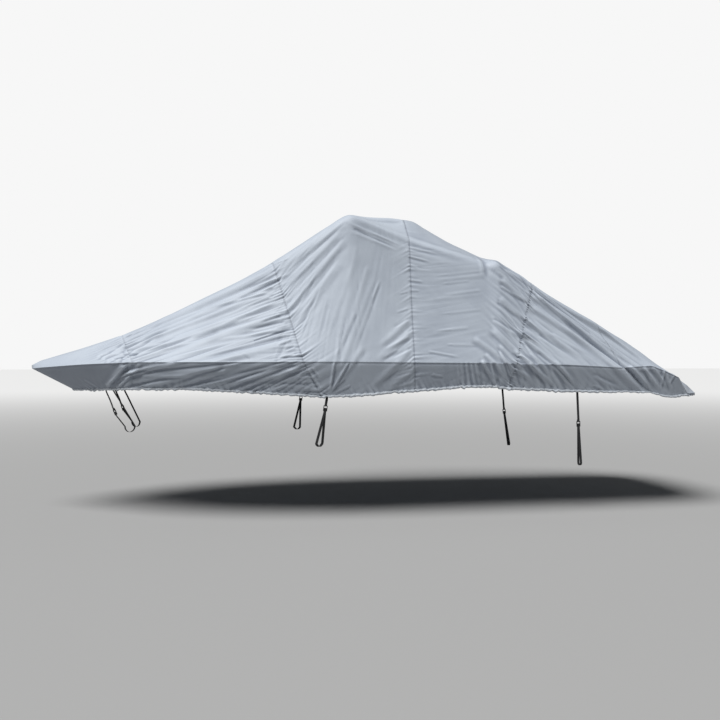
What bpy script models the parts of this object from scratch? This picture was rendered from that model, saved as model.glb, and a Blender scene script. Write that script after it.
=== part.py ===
"""Fitted cover for a tow boat with a tower, as it hangs when it is strapped down.

X runs along the boat from bow (-X) to stern (+X), -Y is port and +Z is up.
All tables are in metres. In them X is 0 at the front bar of the tower and Z is 0 at the rub rail
amidships; the finished cover is moved so that its origin is the top of the tower's frame.
"""

import math

import bmesh
import bpy
import numpy as np

# ---------------------------------------------------------------- driving dimensions
CLOTH_THICKNESS = 0.002
SEAM_GAP = 0.0011            # along the cover, narrowed to about 0.3 mm where a seam leans
TOWER_TOP_X = 0.40
TOWER_TOP_Z = 1.50
SIDE_HOLLOW = 0.020          # how far the side is drawn in between roof edge and rail
SLOPE_STEP = 0.004           # half step along and across for the surface's slope
TOUCH_GAP = 0.0003           # between pieces that lie against each other
HEM_SEAT_DROP = 0.0010       # from the middle of the hem's edge to webbing sewn under it
WEB_WIDTH = 0.025            # black webbing of the tie-down straps
WEB_THICKNESS = 0.0018
WEB_PAIR_SPREAD = 0.0032     # half the distance between two plies where they enter a buckle
BUCKLE_LENGTH = 0.054
BUCKLE_WIDTH = 0.038
BUCKLE_DEPTH = 0.012
BUCKLE_WAIST = 0.82          # width of a buckle's middle, as a share of its upper end
BUCKLE_FOOT = 0.90           # and width of its lower end

# One row for each cross-section of the cover, from the stem to the aft edge over the platform.
# top: ridge on the centre plane; inner: inner roof edge; edge: outer roof edge where the side
# begins; rail: crease at the rub rail; hem: lower edge; soft: rounding along the boat.
SECTION_COLUMNS = (
    "name", "top_x", "top_z", "inner_y", "inner_z", "edge_x", "edge_y", "edge_z",
    "rail_x", "rail_y", "rail_z", "hem_x", "hem_y", "hem_z", "soft",
)
SECTIONS = [
    ("stem", -3.200, -0.038, 0.003, -0.040, -3.200, 0.007, -0.046,
     -3.196, 0.011, -0.074, -2.770, 0.010, -0.300, 0.00),
    ("nose", -3.110, 0.010, 0.020, 0.006, -3.110, 0.045, -0.006,
     -3.100, 0.110, -0.064, -2.720, 0.070, -0.300, 0.03),
    ("foredeck", -2.720, 0.130, 0.070, 0.128, -2.700, 0.170, 0.112,
     -2.660, 0.500, -0.032, -2.450, 0.350, -0.295, 0.10),
    ("seam_a", -2.300, 0.270, 0.140, 0.268, -2.260, 0.310, 0.245,
     -2.110, 0.880, -0.008, -2.140, 0.720, -0.280, 0.10),
    ("windscreen", -1.720, 0.530, 0.220, 0.525, -1.680, 0.490, 0.515,
     -1.500, 1.100, -0.006, -1.500, 0.970, -0.282, 0.12),
    ("fore_slope", -1.080, 0.842, 0.320, 0.835, -1.060, 0.640, 0.812,
     -0.960, 1.190, -0.006, -0.900, 1.085, -0.315, 0.12),
    ("seam_b", -0.740, 1.020, 0.380, 1.012, -0.770, 0.720, 0.978,
     -0.500, 1.235, -0.003, -0.300, 1.140, -0.352, 0.10),
    ("upper_slope", -0.340, 1.285, 0.450, 1.275, -0.360, 0.820, 1.255,
     -0.230, 1.248, -0.003, -0.120, 1.160, -0.352, 0.10),
    ("front_bar", 0.020, 1.525, 0.520, 1.520, 0.000, 0.900, 1.500,
     0.020, 1.250, -0.004, 0.060, 1.168, -0.342, 0.09),
    ("seam_c", 0.680, 1.530, 0.500, 1.516, 0.620, 0.862, 1.215,
     0.575, 1.250, -0.010, 0.600, 1.172, -0.302, 0.08),
    ("rear_bar", 0.775, 1.528, 0.450, 1.512, 0.755, 0.862, 1.182,
     0.750, 1.250, -0.012, 0.760, 1.174, -0.291, 0.06),
    ("rear_slope", 1.150, 1.325, 0.420, 1.305, 1.150, 0.872, 1.092,
     1.120, 1.248, -0.015, 1.120, 1.175, -0.266, 0.10),
    ("knob_front", 1.500, 1.180, 0.380, 1.165, 1.430, 0.885, 1.020,
     1.420, 1.242, -0.018, 1.410, 1.170, -0.264, 0.04),
    ("knob", 1.690, 1.100, 0.400, 1.095, 1.570, 0.905, 1.050,
     1.500, 1.238, -0.020, 1.470, 1.166, -0.272, 0.035),
    ("knob_back", 1.840, 0.970, 0.420, 0.965, 1.750, 0.920, 0.925,
     1.560, 1.234, -0.022, 1.510, 1.163, -0.278, 0.08),
    ("seam_d", 2.000, 0.840, 0.420, 0.835, 1.940, 0.935, 0.795,
     1.620, 1.230, -0.024, 1.545, 1.160, -0.284, 0.10),
    ("aft_slope", 2.320, 0.615, 0.420, 0.612, 2.270, 0.970, 0.587,
     2.200, 1.215, -0.034, 2.240, 1.140, -0.318, 0.10),
    ("seam_e", 2.580, 0.455, 0.420, 0.452, 2.550, 1.000, 0.420,
     2.800, 1.190, -0.066, 3.120, 1.108, -0.327, 0.08),
    ("quarter", 2.900, 0.270, 0.420, 0.268, 2.860, 1.030, 0.236,
     2.990, 1.175, -0.052, 3.230, 1.095, -0.352, 0.06),
    ("transom_rise", 3.080, 0.130, 0.420, 0.128, 3.060, 1.050, 0.098,
     3.130, 1.160, -0.046, 3.320, 1.080, -0.376, 0.05),
    ("transom", 3.270, 0.000, 0.420, -0.004, 3.230, 1.050, -0.022,
     3.250, 1.145, -0.086, 3.420, 1.060, -0.384, 0.04),
    ("corner", 3.500, -0.120, 0.420, -0.124, 3.440, 1.010, -0.136,
     3.465, 1.110, -0.168, 3.600, 1.020, -0.366, 0.02),
    ("platform", 3.740, -0.236, 0.400, -0.240, 3.690, 0.880, -0.248,
     3.625, 1.000, -0.342, 3.660, 0.965, -0.374, 0.02),
    ("aft_edge", 3.895, -0.312, 0.360, -0.316, 3.850, 0.730, -0.322,
     3.845, 0.790, -0.340, 3.835, 0.765, -0.368, 0.01),
    ("aft_hem", 3.920, -0.368, 0.350, -0.368, 3.866, 0.715, -0.370,
     3.855, 0.755, -0.371, 3.842, 0.730, -0.372, 0.00),
]

# Folds of the sides, read from the port side. Each runs straight from its start to its end, places
# in the side view (x, z). width: half width of the crest; height: of the crest over the cloth;
# bow: how far its middle is lifted off the straight line.
SIDE_FOLDS = [
    # start_x, start_z, end_x, end_z, width, height, bow

    # foredeck and windscreen slope, fanning down and forward from seam b
    (-0.72, 0.93, -2.28, 0.24, 0.055, 0.014, 0.00),
    (-0.74, 0.72, -2.10, 0.21, 0.060, 0.018, -0.01),
    (-0.72, 0.62, -1.95, 0.12, 0.060, 0.020, -0.02),
    (-0.70, 0.46, -2.00, 0.04, 0.070, 0.020, -0.02),
    (-0.62, 0.30, -1.60, 0.05, 0.060, 0.014, -0.01),
    (-0.54, 0.15, -1.35, 0.00, 0.055, 0.010, 0.00),
    # skirt of the bow
    (-1.25, -0.04, -2.06, -0.27, 0.060, 0.018, 0.01),
    (-0.72, -0.10, -1.50, -0.28, 0.060, 0.016, 0.00),
    (-2.18, -0.02, -2.42, -0.29, 0.045, 0.016, 0.01),
    (-2.03, -0.02, -2.20, -0.24, 0.040, 0.014, 0.01),
    # fan from the front corner of the tower down to seam b
    (-0.04, 1.40, -0.76, 0.86, 0.045, 0.012, 0.00),
    (-0.06, 1.30, -0.72, 0.66, 0.050, 0.018, 0.00),
    (-0.03, 1.24, -0.67, 0.46, 0.055, 0.020, 0.00),
    (-0.10, 0.98, -0.60, 0.30, 0.055, 0.016, 0.00),
    (0.06, 1.10, -0.20, 0.00, 0.050, 0.009, -0.01),
    (0.16, 0.96, -0.12, 0.10, 0.050, 0.008, -0.01),
    # pulled to the middle strap
    (0.24, 0.86, -0.24, -0.30, 0.045, 0.014, 0.00),
    (0.10, 0.16, -0.25, -0.33, 0.040, 0.014, 0.00),
    (-0.12, 0.34, -0.25, -0.30, 0.040, 0.011, 0.00),
    # meeting seam c from below
    (0.58, 0.43, 0.20, 0.12, 0.050, 0.016, -0.01),
    (0.58, 0.30, 0.18, 0.00, 0.050, 0.018, -0.01),
    (0.56, 0.12, 0.14, -0.28, 0.055, 0.020, 0.00),
    (0.62, -0.06, 0.30, -0.29, 0.045, 0.014, 0.00),
    # from the front corner of the tower to the knob
    (0.02, 1.47, 1.46, 1.02, 0.060, 0.016, -0.03),
    # across the middle panel
    (1.44, 0.90, 0.74, 0.80, 0.045, 0.005, 0.00),
    (1.38, 0.70, 0.76, 0.62, 0.045, 0.005, 0.00),
    (1.20, 0.33, 0.70, 0.28, 0.045, 0.005, 0.00),
    # under the knob and across seam d
    (1.56, 0.86, 1.95, 0.52, 0.045, 0.016, 0.00),
    (1.52, 0.66, 1.92, 0.32, 0.045, 0.014, 0.00),
    (1.62, 0.98, 3.02, 0.08, 0.050, 0.016, 0.01),
    (1.88, 0.72, 2.84, -0.03, 0.055, 0.026, 0.01),
    (1.84, 0.58, 2.60, 0.05, 0.050, 0.018, 0.01),
    (1.76, 0.44, 2.44, -0.02, 0.050, 0.020, 0.01),
    (1.66, 0.34, 2.30, -0.29, 0.050, 0.022, 0.01),
    (1.40, 0.34, 1.95, -0.24, 0.050, 0.018, 0.01),
    (1.20, 0.24, 1.66, -0.10, 0.050, 0.014, 0.01),
    (1.26, 0.02, 1.44, -0.24, 0.040, 0.012, 0.00),
    # skirt of the stern
    (2.86, -0.04, 3.14, -0.31, 0.035, 0.022, 0.01),
    (3.02, -0.05, 3.26, -0.33, 0.035, 0.018, 0.01),
    (3.12, -0.05, 3.36, -0.30, 0.035, 0.016, 0.01),
    (3.26, -0.08, 3.42, -0.33, 0.035, 0.016, 0.00),
]
# Folds of the roof, in plan (x, y), with the same other columns.
ROOF_FOLDS = [
    # start_x, start_y, end_x, end_y, width, height, bow
    (0.05, -0.30, 0.74, -0.20, 0.070, 0.012, 0.00),
    (0.05, 0.36, 0.74, 0.24, 0.070, 0.012, 0.00),
    (0.00, -0.70, 0.72, -0.42, 0.050, 0.014, 0.00),
    (0.00, 0.70, 0.72, 0.42, 0.050, 0.014, 0.00),
    (0.80, -0.30, 1.80, -0.34, 0.070, 0.012, 0.03),
    (0.80, 0.22, 1.80, 0.30, 0.070, 0.012, 0.03),
    (1.70, -0.62, 3.30, -0.30, 0.070, 0.014, 0.02),
    (1.70, 0.58, 3.20, 0.34, 0.070, 0.014, 0.02),
    (1.80, 0.10, 3.40, 0.02, 0.080, 0.010, 0.02),
    (-0.05, -0.40, -2.10, -0.08, 0.070, 0.012, 0.02),
    (-0.05, 0.34, -2.20, 0.06, 0.070, 0.012, 0.02),
    (-0.10, -0.66, -1.60, -0.30, 0.055, 0.012, 0.00),
    (-0.10, 0.64, -1.50, 0.30, 0.055, 0.012, 0.00),
]
FOLD_TROUGH = 0.65           # depth of the trough under a crest, as a share of its height
TROUGH_OFFSET = 1.5          # from crest to trough, in widths of the crest
TROUGH_WIDTH = 1.1           # width of the trough, in widths of the crest
FOLD_RISE = 0.12             # share of a fold's length over which it rises at its start
FOLD_FALL = 0.35             # and over which it dies out at its end
STEM_CALM = 0.20             # stretch at either end of the cover that stays free of folds
STARBOARD_DRIFT = 0.05       # how far the starboard folds lie from a true mirror of the port ones
STARBOARD_HEIGHT = 0.85      # their mean height, as a share of the port folds' height
DRIFT_HEIGHT = 3.0           # and how much each one's own drift adds to that, for each metre

# Lines that run along the cover: share of the half-girth where each lies, rounding across it
# and cells of the mesh between it and the next line outwards.
LINES = [
    # name, share of half-girth, rounding, cells to the next line
    ("top", 0.00, 0.050, 3),
    ("inner", 0.17, 0.050, 3),
    ("edge", 0.33, 0.050, 8),
    ("rail", 0.88, 0.000, 3),
    ("hem", 1.00, 0.000, 0),
]
ROUNDING_STEPS = 9           # samples that a rounding is averaged over
ROUNDING_FALL = 0.8          # how much less the outermost sample counts than the middle one

PANELS = [
    # name, first section, last section, cells along
    ("bow_panel", "stem", "seam_a", 9),
    ("fore_panel", "seam_a", "seam_b", 13),
    ("tower_panel", "seam_b", "seam_c", 12),
    ("mid_panel", "seam_c", "seam_d", 11),
    ("aft_panel", "seam_d", "seam_e", 9),
    ("stern_panel", "seam_e", "aft_hem", 11),
]

# Tie-down straps of the port side; the starboard ones mirror them. A tab of webbing is sewn to the
# hem and ends in a buckle. The strap runs from the buckle to its foot, turns there, drifts aft by
# drift_x over the turn and comes back to the buckle, or to the hem where back_x gives a place.
TIE_COLUMNS = ("name", "panel", "hem_x", "buckle_x", "buckle_y", "buckle_z",
               "foot_x", "foot_y", "foot_z", "turn_radius", "drift_x", "back_x")
TIES = [
    ("bow", "bow_panel", -2.410, -2.320, 0.400, -0.515, -2.225, 0.390, -0.660, 0.060, 0.00, -2.330),
    ("mid", "tower_panel", -0.262, -0.275, 1.135, -0.455, -0.360, 1.110, -0.800, 0.030, 0.06, None),
    ("aft", "aft_panel", 2.320, 2.340, 1.115, -0.640, 2.380, 1.090, -1.040, 0.030, 0.00, None),
]
TURN_STEPS = 6


# ---------------------------------------------------------------- the cover's surface
def column(name):
    at = SECTION_COLUMNS.index(name)
    return np.array([row[at] for row in SECTIONS], dtype=float)


TABLE = {name: column(name) for name in SECTION_COLUMNS[1:]}
TABLE["top_y"] = np.zeros(len(SECTIONS))
TABLE["inner_x"] = TABLE["top_x"] + (TABLE["edge_x"] - TABLE["top_x"]) * TABLE["inner_y"] / TABLE["edge_y"]
ALONG = (TABLE["top_x"] + TABLE["edge_x"] + TABLE["rail_x"] + TABLE["hem_x"]) / 4
SECTION_PLACE = {row[0]: ALONG[number] for number, row in enumerate(SECTIONS)}
GIRTH = {row[0]: row[1] for row in LINES}
SHARES = np.array([row[1] for row in LINES])
ROUNDINGS = np.array([row[2] for row in LINES])
SPREAD = np.linspace(-1.0, 1.0, ROUNDING_STEPS)
SPREAD_WEIGHTS = 1.0 - np.abs(SPREAD) * ROUNDING_FALL
SPREAD_WEIGHTS /= SPREAD_WEIGHTS.sum()


def lines_at(along):
    """The points of all lines at each place along the cover, as (places, lines, xyz)."""
    soft = np.interp(along, ALONG, TABLE["soft"])
    points = np.zeros((len(along), len(LINES), 3))
    for number, (line, *_) in enumerate(LINES):
        for axis, letter in enumerate("xyz"):
            values = TABLE[f"{line}_{letter}"]
            for offset, weight in zip(SPREAD, SPREAD_WEIGHTS):
                points[:, number, axis] += weight * np.interp(along + offset * soft, ALONG, values)
    return points


def shares_at(across):
    """How much each line counts at each place across, and the same with the side's sign."""
    rounding = np.interp(np.abs(across), SHARES, ROUNDINGS)
    plain = np.zeros((len(across), len(LINES)))
    signed = np.zeros_like(plain)
    for offset, weight in zip(SPREAD, SPREAD_WEIGHTS):
        place = across + offset * rounding
        for number in range(len(LINES)):
            share = np.interp(np.abs(place), SHARES, np.eye(len(LINES))[number])
            plain[:, number] += weight * share
            signed[:, number] += weight * share * np.sign(place)
    return plain, signed


def smooth_surface(along, across):
    """The cover without its folds, as a grid of points (along, across, xyz)."""
    lines = lines_at(along)
    plain, signed = shares_at(across)
    grid = np.einsum("cl,alk->ack", plain, lines)
    grid[:, :, 1] = np.einsum("cl,al->ac", signed, lines[:, :, 1])
    down_side = np.clip((np.abs(across) - GIRTH["edge"]) / (GIRTH["rail"] - GIRTH["edge"]), 0.0, 1.0)
    height = np.clip(lines[:, 2, 2] - lines[:, 3, 2], 0.0, 1.0)
    grid[:, :, 1] -= SIDE_HOLLOW * np.sin(math.pi * down_side) * np.sign(across) * height[:, None]
    return grid


def surface_normals(along, across):
    first, last = ALONG[0], ALONG[-1]
    before = smooth_surface(np.maximum(along - SLOPE_STEP, first), across)
    after = smooth_surface(np.minimum(along + SLOPE_STEP, last), across)
    left = smooth_surface(along, np.maximum(across - SLOPE_STEP, -1.0))
    right = smooth_surface(along, np.minimum(across + SLOPE_STEP, 1.0))
    normals = np.cross(after - before, right - left)
    return normals / np.maximum(np.linalg.norm(normals, axis=2, keepdims=True), 1e-12)


def eased(value):
    """0 to 1 with a soft start and end."""
    value = np.clip(value, 0.0, 1.0)
    return value * value * (3.0 - 2.0 * value)


def fold_height(fold, flat_x, flat_y):
    """Height of one fold over the cloth at each point of a flat view."""
    start_x, start_y, end_x, end_y, width, height, bow = fold
    run = np.hypot(end_x - start_x, end_y - start_y)
    along_x, along_y = (end_x - start_x) / run, (end_y - start_y) / run
    up_x, up_y = (-along_y, along_x) if along_x >= 0 else (along_y, -along_x)
    part = ((flat_x - start_x) * along_x + (flat_y - start_y) * along_y) / run
    inside = np.clip(part, 0.0, 1.0)
    off = (flat_x - start_x) * up_x + (flat_y - start_y) * up_y - bow * 4.0 * inside * (1.0 - inside)
    crest = np.exp(-((off / width) ** 2))
    trough = np.exp(-(((off / width + TROUGH_OFFSET) / TROUGH_WIDTH) ** 2))
    ends = eased(part / FOLD_RISE) * eased((1.0 - part) / FOLD_FALL)
    return height * (crest - FOLD_TROUGH * trough) * ends


def drifted(fold, number):
    """A starboard fold: its port twin, a little moved, weakened or strengthened."""
    start_x, start_z, end_x, end_z, width, height, bow = fold
    shift = STARBOARD_DRIFT * math.sin(1.7 * number)
    lean = STARBOARD_DRIFT * math.cos(2.3 * number)
    share = STARBOARD_HEIGHT + DRIFT_HEIGHT * shift
    return (start_x + lean, start_z, end_x + shift, end_z, width, height * share, bow)


def folds_on(points, across):
    """How far the folds lift the cloth at each point of the grid."""
    lift = np.zeros(points.shape[:2])
    side_share = eased((np.abs(across) - GIRTH["inner"]) / (GIRTH["edge"] - GIRTH["inner"]))[None, :]
    port = (across < 0)[None, :]
    for number, fold in enumerate(SIDE_FOLDS):
        port_lift = fold_height(fold, points[:, :, 0], points[:, :, 2])
        starboard_lift = fold_height(drifted(fold, number), points[:, :, 0], points[:, :, 2])
        lift += np.where(port, port_lift, starboard_lift) * side_share
    for fold in ROOF_FOLDS:
        lift += fold_height(fold, points[:, :, 0], points[:, :, 1]) * (1.0 - side_share)
    return lift


def cover_surface(along, across):
    """Points of the folded cover and the directions that point out of it."""
    points = smooth_surface(along, across)
    normals = surface_normals(along, across)
    stem_share = eased((along - ALONG[0]) / STEM_CALM)[:, None]
    hem_share = eased((ALONG[-1] - along) / STEM_CALM)[:, None]
    lift = folds_on(points, across) * stem_share * hem_share
    return points + normals * lift[:, :, None], normals


# ---------------------------------------------------------------- meshes
def places_across():
    half = [0.0]
    for (_, start, _, cells), (_, end, _, _) in zip(LINES, LINES[1:]):
        half += [start + (end - start) * (step + 1) / cells for step in range(cells)]
    return np.array([-place for place in reversed(half[1:])] + half)


def shell_faces(outside, closed_at_start):
    """Faces of a sheet with two skins and a rim; the start may be closed across, as a stem is.

    Both skins are cut along the same diagonals, so the wall keeps its thickness where it twists.
    """
    rows, columns = outside.shape[:2]
    skin = rows * columns
    falling = np.linalg.norm(outside[1:, 1:] - outside[:-1, :-1], axis=2)
    rising = np.linalg.norm(outside[1:, :-1] - outside[:-1, 1:], axis=2)
    patches = []
    for row in range(rows - 1):
        for place in range(columns - 1):
            first = row * columns + place
            second, third, fourth = first + columns, first + columns + 1, first + 1
            if falling[row, place] <= rising[row, place]:
                patches += [(first, second, third), (first, third, fourth)]
            else:
                patches += [(first, second, fourth), (second, third, fourth)]
    edges = []
    last = (rows - 1) * columns
    edges += [(last + place, last + place + 1) for place in range(columns - 1)]
    edges += [(row * columns, (row + 1) * columns) for row in range(rows - 1)]
    edges += [((row + 1) * columns + columns - 1, row * columns + columns - 1) for row in range(rows - 1)]
    if closed_at_start:
        middle = columns // 2
        for step in range(middle):
            port, starboard = middle - step, middle + step
            patches.append((port - 1, starboard, starboard + 1))
            if step > 0:
                patches.append((port - 1, port, starboard))
        edges.append((columns - 1, 0))
    else:
        edges += [(place + 1, place) for place in range(columns - 1)]
    faces = patches + [tuple(skin + index for index in reversed(patch)) for patch in patches]
    faces += [(second, first, skin + first, skin + second) for first, second in edges]
    return faces


def add_object(name, vertices, faces, material, smooth=True):
    mesh = bpy.data.meshes.new(name)
    mesh.from_pydata([tuple(vertex) for vertex in vertices], [], faces)
    outward = bmesh.new()
    outward.from_mesh(mesh)
    bmesh.ops.recalc_face_normals(outward, faces=outward.faces)
    if outward.calc_volume(signed=True) < 0.0:
        bmesh.ops.reverse_faces(outward, faces=outward.faces)
    outward.to_mesh(mesh)
    outward.free()
    mesh.materials.append(material)
    if smooth:
        mesh.shade_smooth()
    piece = bpy.data.objects.new(name, mesh)
    bpy.context.scene.collection.objects.link(piece)
    return piece


def to_frame(points):
    """From the tables' places to the finished cover's own frame."""
    return points - np.array([TOWER_TOP_X, 0.0, TOWER_TOP_Z])


def panel_places(first, last, cells):
    """Places along the cover of a panel's rows, short of its seams by half their gap."""
    start, end = SECTION_PLACE[first], SECTION_PLACE[last]
    if first != "stem":
        start += SEAM_GAP / 2
    if last != "aft_hem":
        end -= SEAM_GAP / 2
    return np.linspace(start, end, cells + 1)


def sewn_panel(name, first, last, cells, material):
    along = panel_places(first, last, cells)
    across = places_across()
    outside, normals = cover_surface(along, across)
    inside = outside - CLOTH_THICKNESS * normals
    vertices = np.concatenate([to_frame(outside).reshape(-1, 3), to_frame(inside).reshape(-1, 3)])
    return add_object(name, vertices, shell_faces(outside, first == "stem"), material)


# ---------------------------------------------------------------- tie-down straps
def hem_edge(panel, side):
    """Middle of the panel's lower edge, as points that run aft."""
    _, first, last, cells = next(row for row in PANELS if row[0] == panel)
    along = panel_places(first, last, cells)
    outside, normals = cover_surface(along, np.array([-1.0, 1.0]))
    edge = outside - CLOTH_THICKNESS / 2 * normals
    return edge[:, 0 if side < 0 else 1]


def hem_seat(panel, side, x):
    """The point just under the hem at x, and the hem's direction there."""
    edge = hem_edge(panel, side)
    number = int(np.searchsorted(edge[:, 0], x)) - 1
    first, second = edge[number], edge[number + 1]
    share = (x - first[0]) / (second[0] - first[0])
    direction = (second - first) / np.linalg.norm(second - first)
    return first + (second - first) * share, direction


def ribbon(name, centres, width_run, cuts, material):
    """A flat band of webbing through its centre points; each of its two cut ends faces along a cut."""
    centres = np.array(centres)
    runs = np.gradient(centres, axis=0)
    for end, cut in zip((0, -1), cuts):
        runs[end] = cut * np.sign(runs[end] @ cut)
    runs /= np.linalg.norm(runs, axis=1, keepdims=True)
    across = width_run - runs * (runs @ width_run)[:, None]
    across /= np.linalg.norm(across, axis=1, keepdims=True)
    faces_out = np.cross(runs, across)
    faces_out /= np.linalg.norm(faces_out, axis=1, keepdims=True)
    half_width = across * WEB_WIDTH / 2
    half_depth = faces_out * WEB_THICKNESS / 2
    corners = [centres + half_width * u + half_depth * v for u, v in ((1, 1), (-1, 1), (-1, -1), (1, -1))]
    vertices = np.stack(corners, axis=1).reshape(-1, 3)
    faces = [(0, 1, 2, 3)]
    for step in range(len(centres) - 1):
        for corner in range(4):
            following = (corner + 1) % 4
            here, there = step * 4, step * 4 + 4
            faces.append((here + following, here + corner, there + corner, there + following))
    end = len(centres) * 4 - 4
    faces.append((end + 3, end + 2, end + 1, end))
    return add_object(name, to_frame(vertices), faces, material, smooth=False)


def buckle(name, centre, lengthwise, sideways, material):
    """A flat buckle with a waist, its length and width along the two given directions."""
    outward = np.cross(lengthwise, sideways)
    half_length, half_width = BUCKLE_LENGTH / 2, BUCKLE_WIDTH / 2
    waist = half_width * BUCKLE_WAIST
    outline = [
        (-half_length, half_width), (-half_length / 2, half_width), (0.0, waist),
        (half_length / 2, half_width), (half_length, half_width * BUCKLE_FOOT),
    ]
    outline += [(place, -width) for place, width in reversed(outline)]
    rings = [
        [centre + lengthwise * place + sideways * width + outward * depth for place, width in outline]
        for depth in (-BUCKLE_DEPTH / 2, BUCKLE_DEPTH / 2)
    ]
    count = len(outline)
    faces = [tuple(reversed(range(count))), tuple(range(count, 2 * count))]
    for corner in range(count):
        following = (corner + 1) % count
        faces.append((corner, following, count + following, count + corner))
    return add_object(name, to_frame(np.array(rings[0] + rings[1])), faces, material, smooth=False)


def unit(vector):
    return vector / np.linalg.norm(vector)


def tie_down(row, side, webbing, plastic):
    tie = dict(zip(TIE_COLUMNS, row))
    label = f"{tie['name']}_{'port' if side < 0 else 'starboard'}"
    hem, hem_run = hem_seat(tie["panel"], side, tie["hem_x"])
    middle = np.array([tie["buckle_x"], side * tie["buckle_y"], tie["buckle_z"]])
    foot = np.array([tie["foot_x"], side * tie["foot_y"], tie["foot_z"]])
    down = unit(middle - hem)
    sideways = unit(hem_run - down * np.dot(hem_run, down))
    inboard = unit(np.array([side * hem_run[1], -side * hem_run[0], 0.0]))
    hem_cut = np.cross(hem_run, inboard)
    seat_drop = np.array([0.0, 0.0, -HEM_SEAT_DROP])

    start = hem + seat_drop
    tab_end = middle - down * (BUCKLE_LENGTH / 2 + TOUCH_GAP)
    ribbon(f"tab_{label}", [start, (start + tab_end) / 2, tab_end], hem_run, (hem_cut, down), webbing)
    buckle(f"buckle_{label}", middle, down, sideways, plastic)

    outlet = middle + down * (BUCKLE_LENGTH / 2 + TOUCH_GAP)
    outward = unit(np.cross(down, sideways))
    outward *= -np.sign(outward @ inboard)
    path = [outlet + outward * WEB_PAIR_SPREAD]
    path += [path[0] + (foot - path[0]) * share for share in (0.5, 0.9)]
    for step in range(TURN_STEPS + 1):
        angle = math.pi * step / TURN_STEPS
        turn = inboard * tie["turn_radius"] * (1 - math.cos(angle))
        drop = np.array([tie["drift_x"] * step / TURN_STEPS, 0.0, -tie["turn_radius"] * math.sin(angle)])
        path.append(foot + turn + drop)
    finish, finish_cut = outlet - outward * WEB_PAIR_SPREAD, down
    if tie["back_x"] is not None:
        back_hem, back_run = hem_seat(tie["panel"], side, tie["back_x"])
        finish, finish_cut = back_hem + seat_drop, np.cross(back_run, inboard)
    path += [path[-1] + (finish - path[-1]) * share for share in (0.1, 0.5, 1.0)]
    ribbon(f"strap_{label}", path, hem_run, (down, finish_cut), webbing)


# ---------------------------------------------------------------- materials and assembly
def plain_material(name, colour, roughness):
    material = bpy.data.materials.new(name)
    material.use_nodes = True
    shader = material.node_tree.nodes["Principled BSDF"]
    shader.inputs["Base Color"].default_value = (*colour, 1.0)
    shader.inputs["Roughness"].default_value = roughness
    shader.inputs["Metallic"].default_value = 0.0
    return material


def build():
    for old in list(bpy.data.objects):
        bpy.data.objects.remove(old, do_unlink=True)
    for name, first, last, cells in PANELS:
        cloth = plain_material(f"{name}_cloth", (0.36, 0.40, 0.46), 0.7)
        sewn_panel(name, first, last, cells, cloth)
    webbing = plain_material("webbing", (0.015, 0.015, 0.017), 0.8)
    plastic = plain_material("buckle_plastic", (0.012, 0.012, 0.013), 0.4)
    for row in TIES:
        for side in (-1, 1):
            tie_down(row, side, webbing, plastic)


build()
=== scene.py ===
import math

import bmesh
import bpy
import numpy as np
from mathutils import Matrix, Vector


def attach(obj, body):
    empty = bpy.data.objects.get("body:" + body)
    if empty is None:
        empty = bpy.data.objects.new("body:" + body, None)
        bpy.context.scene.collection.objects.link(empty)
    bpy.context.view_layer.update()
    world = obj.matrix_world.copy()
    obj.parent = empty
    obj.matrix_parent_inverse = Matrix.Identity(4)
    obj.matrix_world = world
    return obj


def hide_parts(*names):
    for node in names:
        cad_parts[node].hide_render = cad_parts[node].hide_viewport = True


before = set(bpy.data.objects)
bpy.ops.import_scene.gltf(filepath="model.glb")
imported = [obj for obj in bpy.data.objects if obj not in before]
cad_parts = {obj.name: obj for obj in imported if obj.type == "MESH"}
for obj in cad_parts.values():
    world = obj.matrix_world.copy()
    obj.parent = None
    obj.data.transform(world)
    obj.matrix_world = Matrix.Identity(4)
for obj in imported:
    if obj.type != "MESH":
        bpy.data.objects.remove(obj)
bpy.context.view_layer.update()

# Looks of the fitted cover, in metres where no other unit is named. X runs from bow (-X) to stern (+X), -Y
# is port and +Z is up. In the tables X is 0 at the front bar of the tower and Z is 0 at the rub rail;
# to_frame() moves them to the row frame, whose origin lies under the top of the cover.

# ---------------------------------------------------------------- sizes
TOWER_TOP_X = 0.40
TOWER_TOP_Z = 1.50
SIDE_HOLLOW = 0.020          # how far the side is drawn in between roof edge and rail
SLOPE_STEP = 0.004           # half step along and across for the surface's slope
CLOTH_THICKNESS = 0.002
ROW_STEP = 0.009             # fine rows of the cloth along the cover
LIP_ROWS = 6                 # rows on the turned-down aft edge
FINE_REACH = 0.40            # distance from a seam within which the cloth is meshed finely
HOLLOW_BLUR = 9              # cells over which the cloth is averaged to find its hollows and crests, for their painted shade and highlight
HOLLOW_DEPTH = 0.0042        # depth that counts as a full hollow
LAP = 0.014                  # width of a lapped seam
LAP_RISE = 0.0008            # how far the upper cloth of a lap stands over the lower one
LAP_FADE = 0.010             # stretch behind the lap where that dies out
LAP_DIP = (0.004, 0.006)     # where the lower cloth begins to sink before the seam, and over what stretch
GROOVE_WIDTH = 0.012         # of the groove that the stitching pulls into a seam
ROLL_CELLS = 10              # round the drawcord hem
AFT_ROLL_ROWS = 8
ROLL_RADIUS = 0.0145
ROLL_ROOM = 0.22             # most that its radius takes of a short skirt
ROLL_START = 5.0             # degrees round the roll where the skirt meets it
ROLL_END = 300.0
ROLL_TWIST = 0.014           # how far its puckers shift along the hem for each radian round it
ROLL_SIZE = 0.987            # mean share of the radius that it reaches, and what its puckers add to that
ROLL_SWELL = 0.46
ROLL_AT_ONCE = 0.2           # share of the puckers at the start of the side rolls, which grow round them
LIP_FADE = (0.80, 0.12)      # share of the half-girth where the aft roll begins to thin, and its fade
LIP_LEAST = 0.0015           # radius that is left of it there
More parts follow.
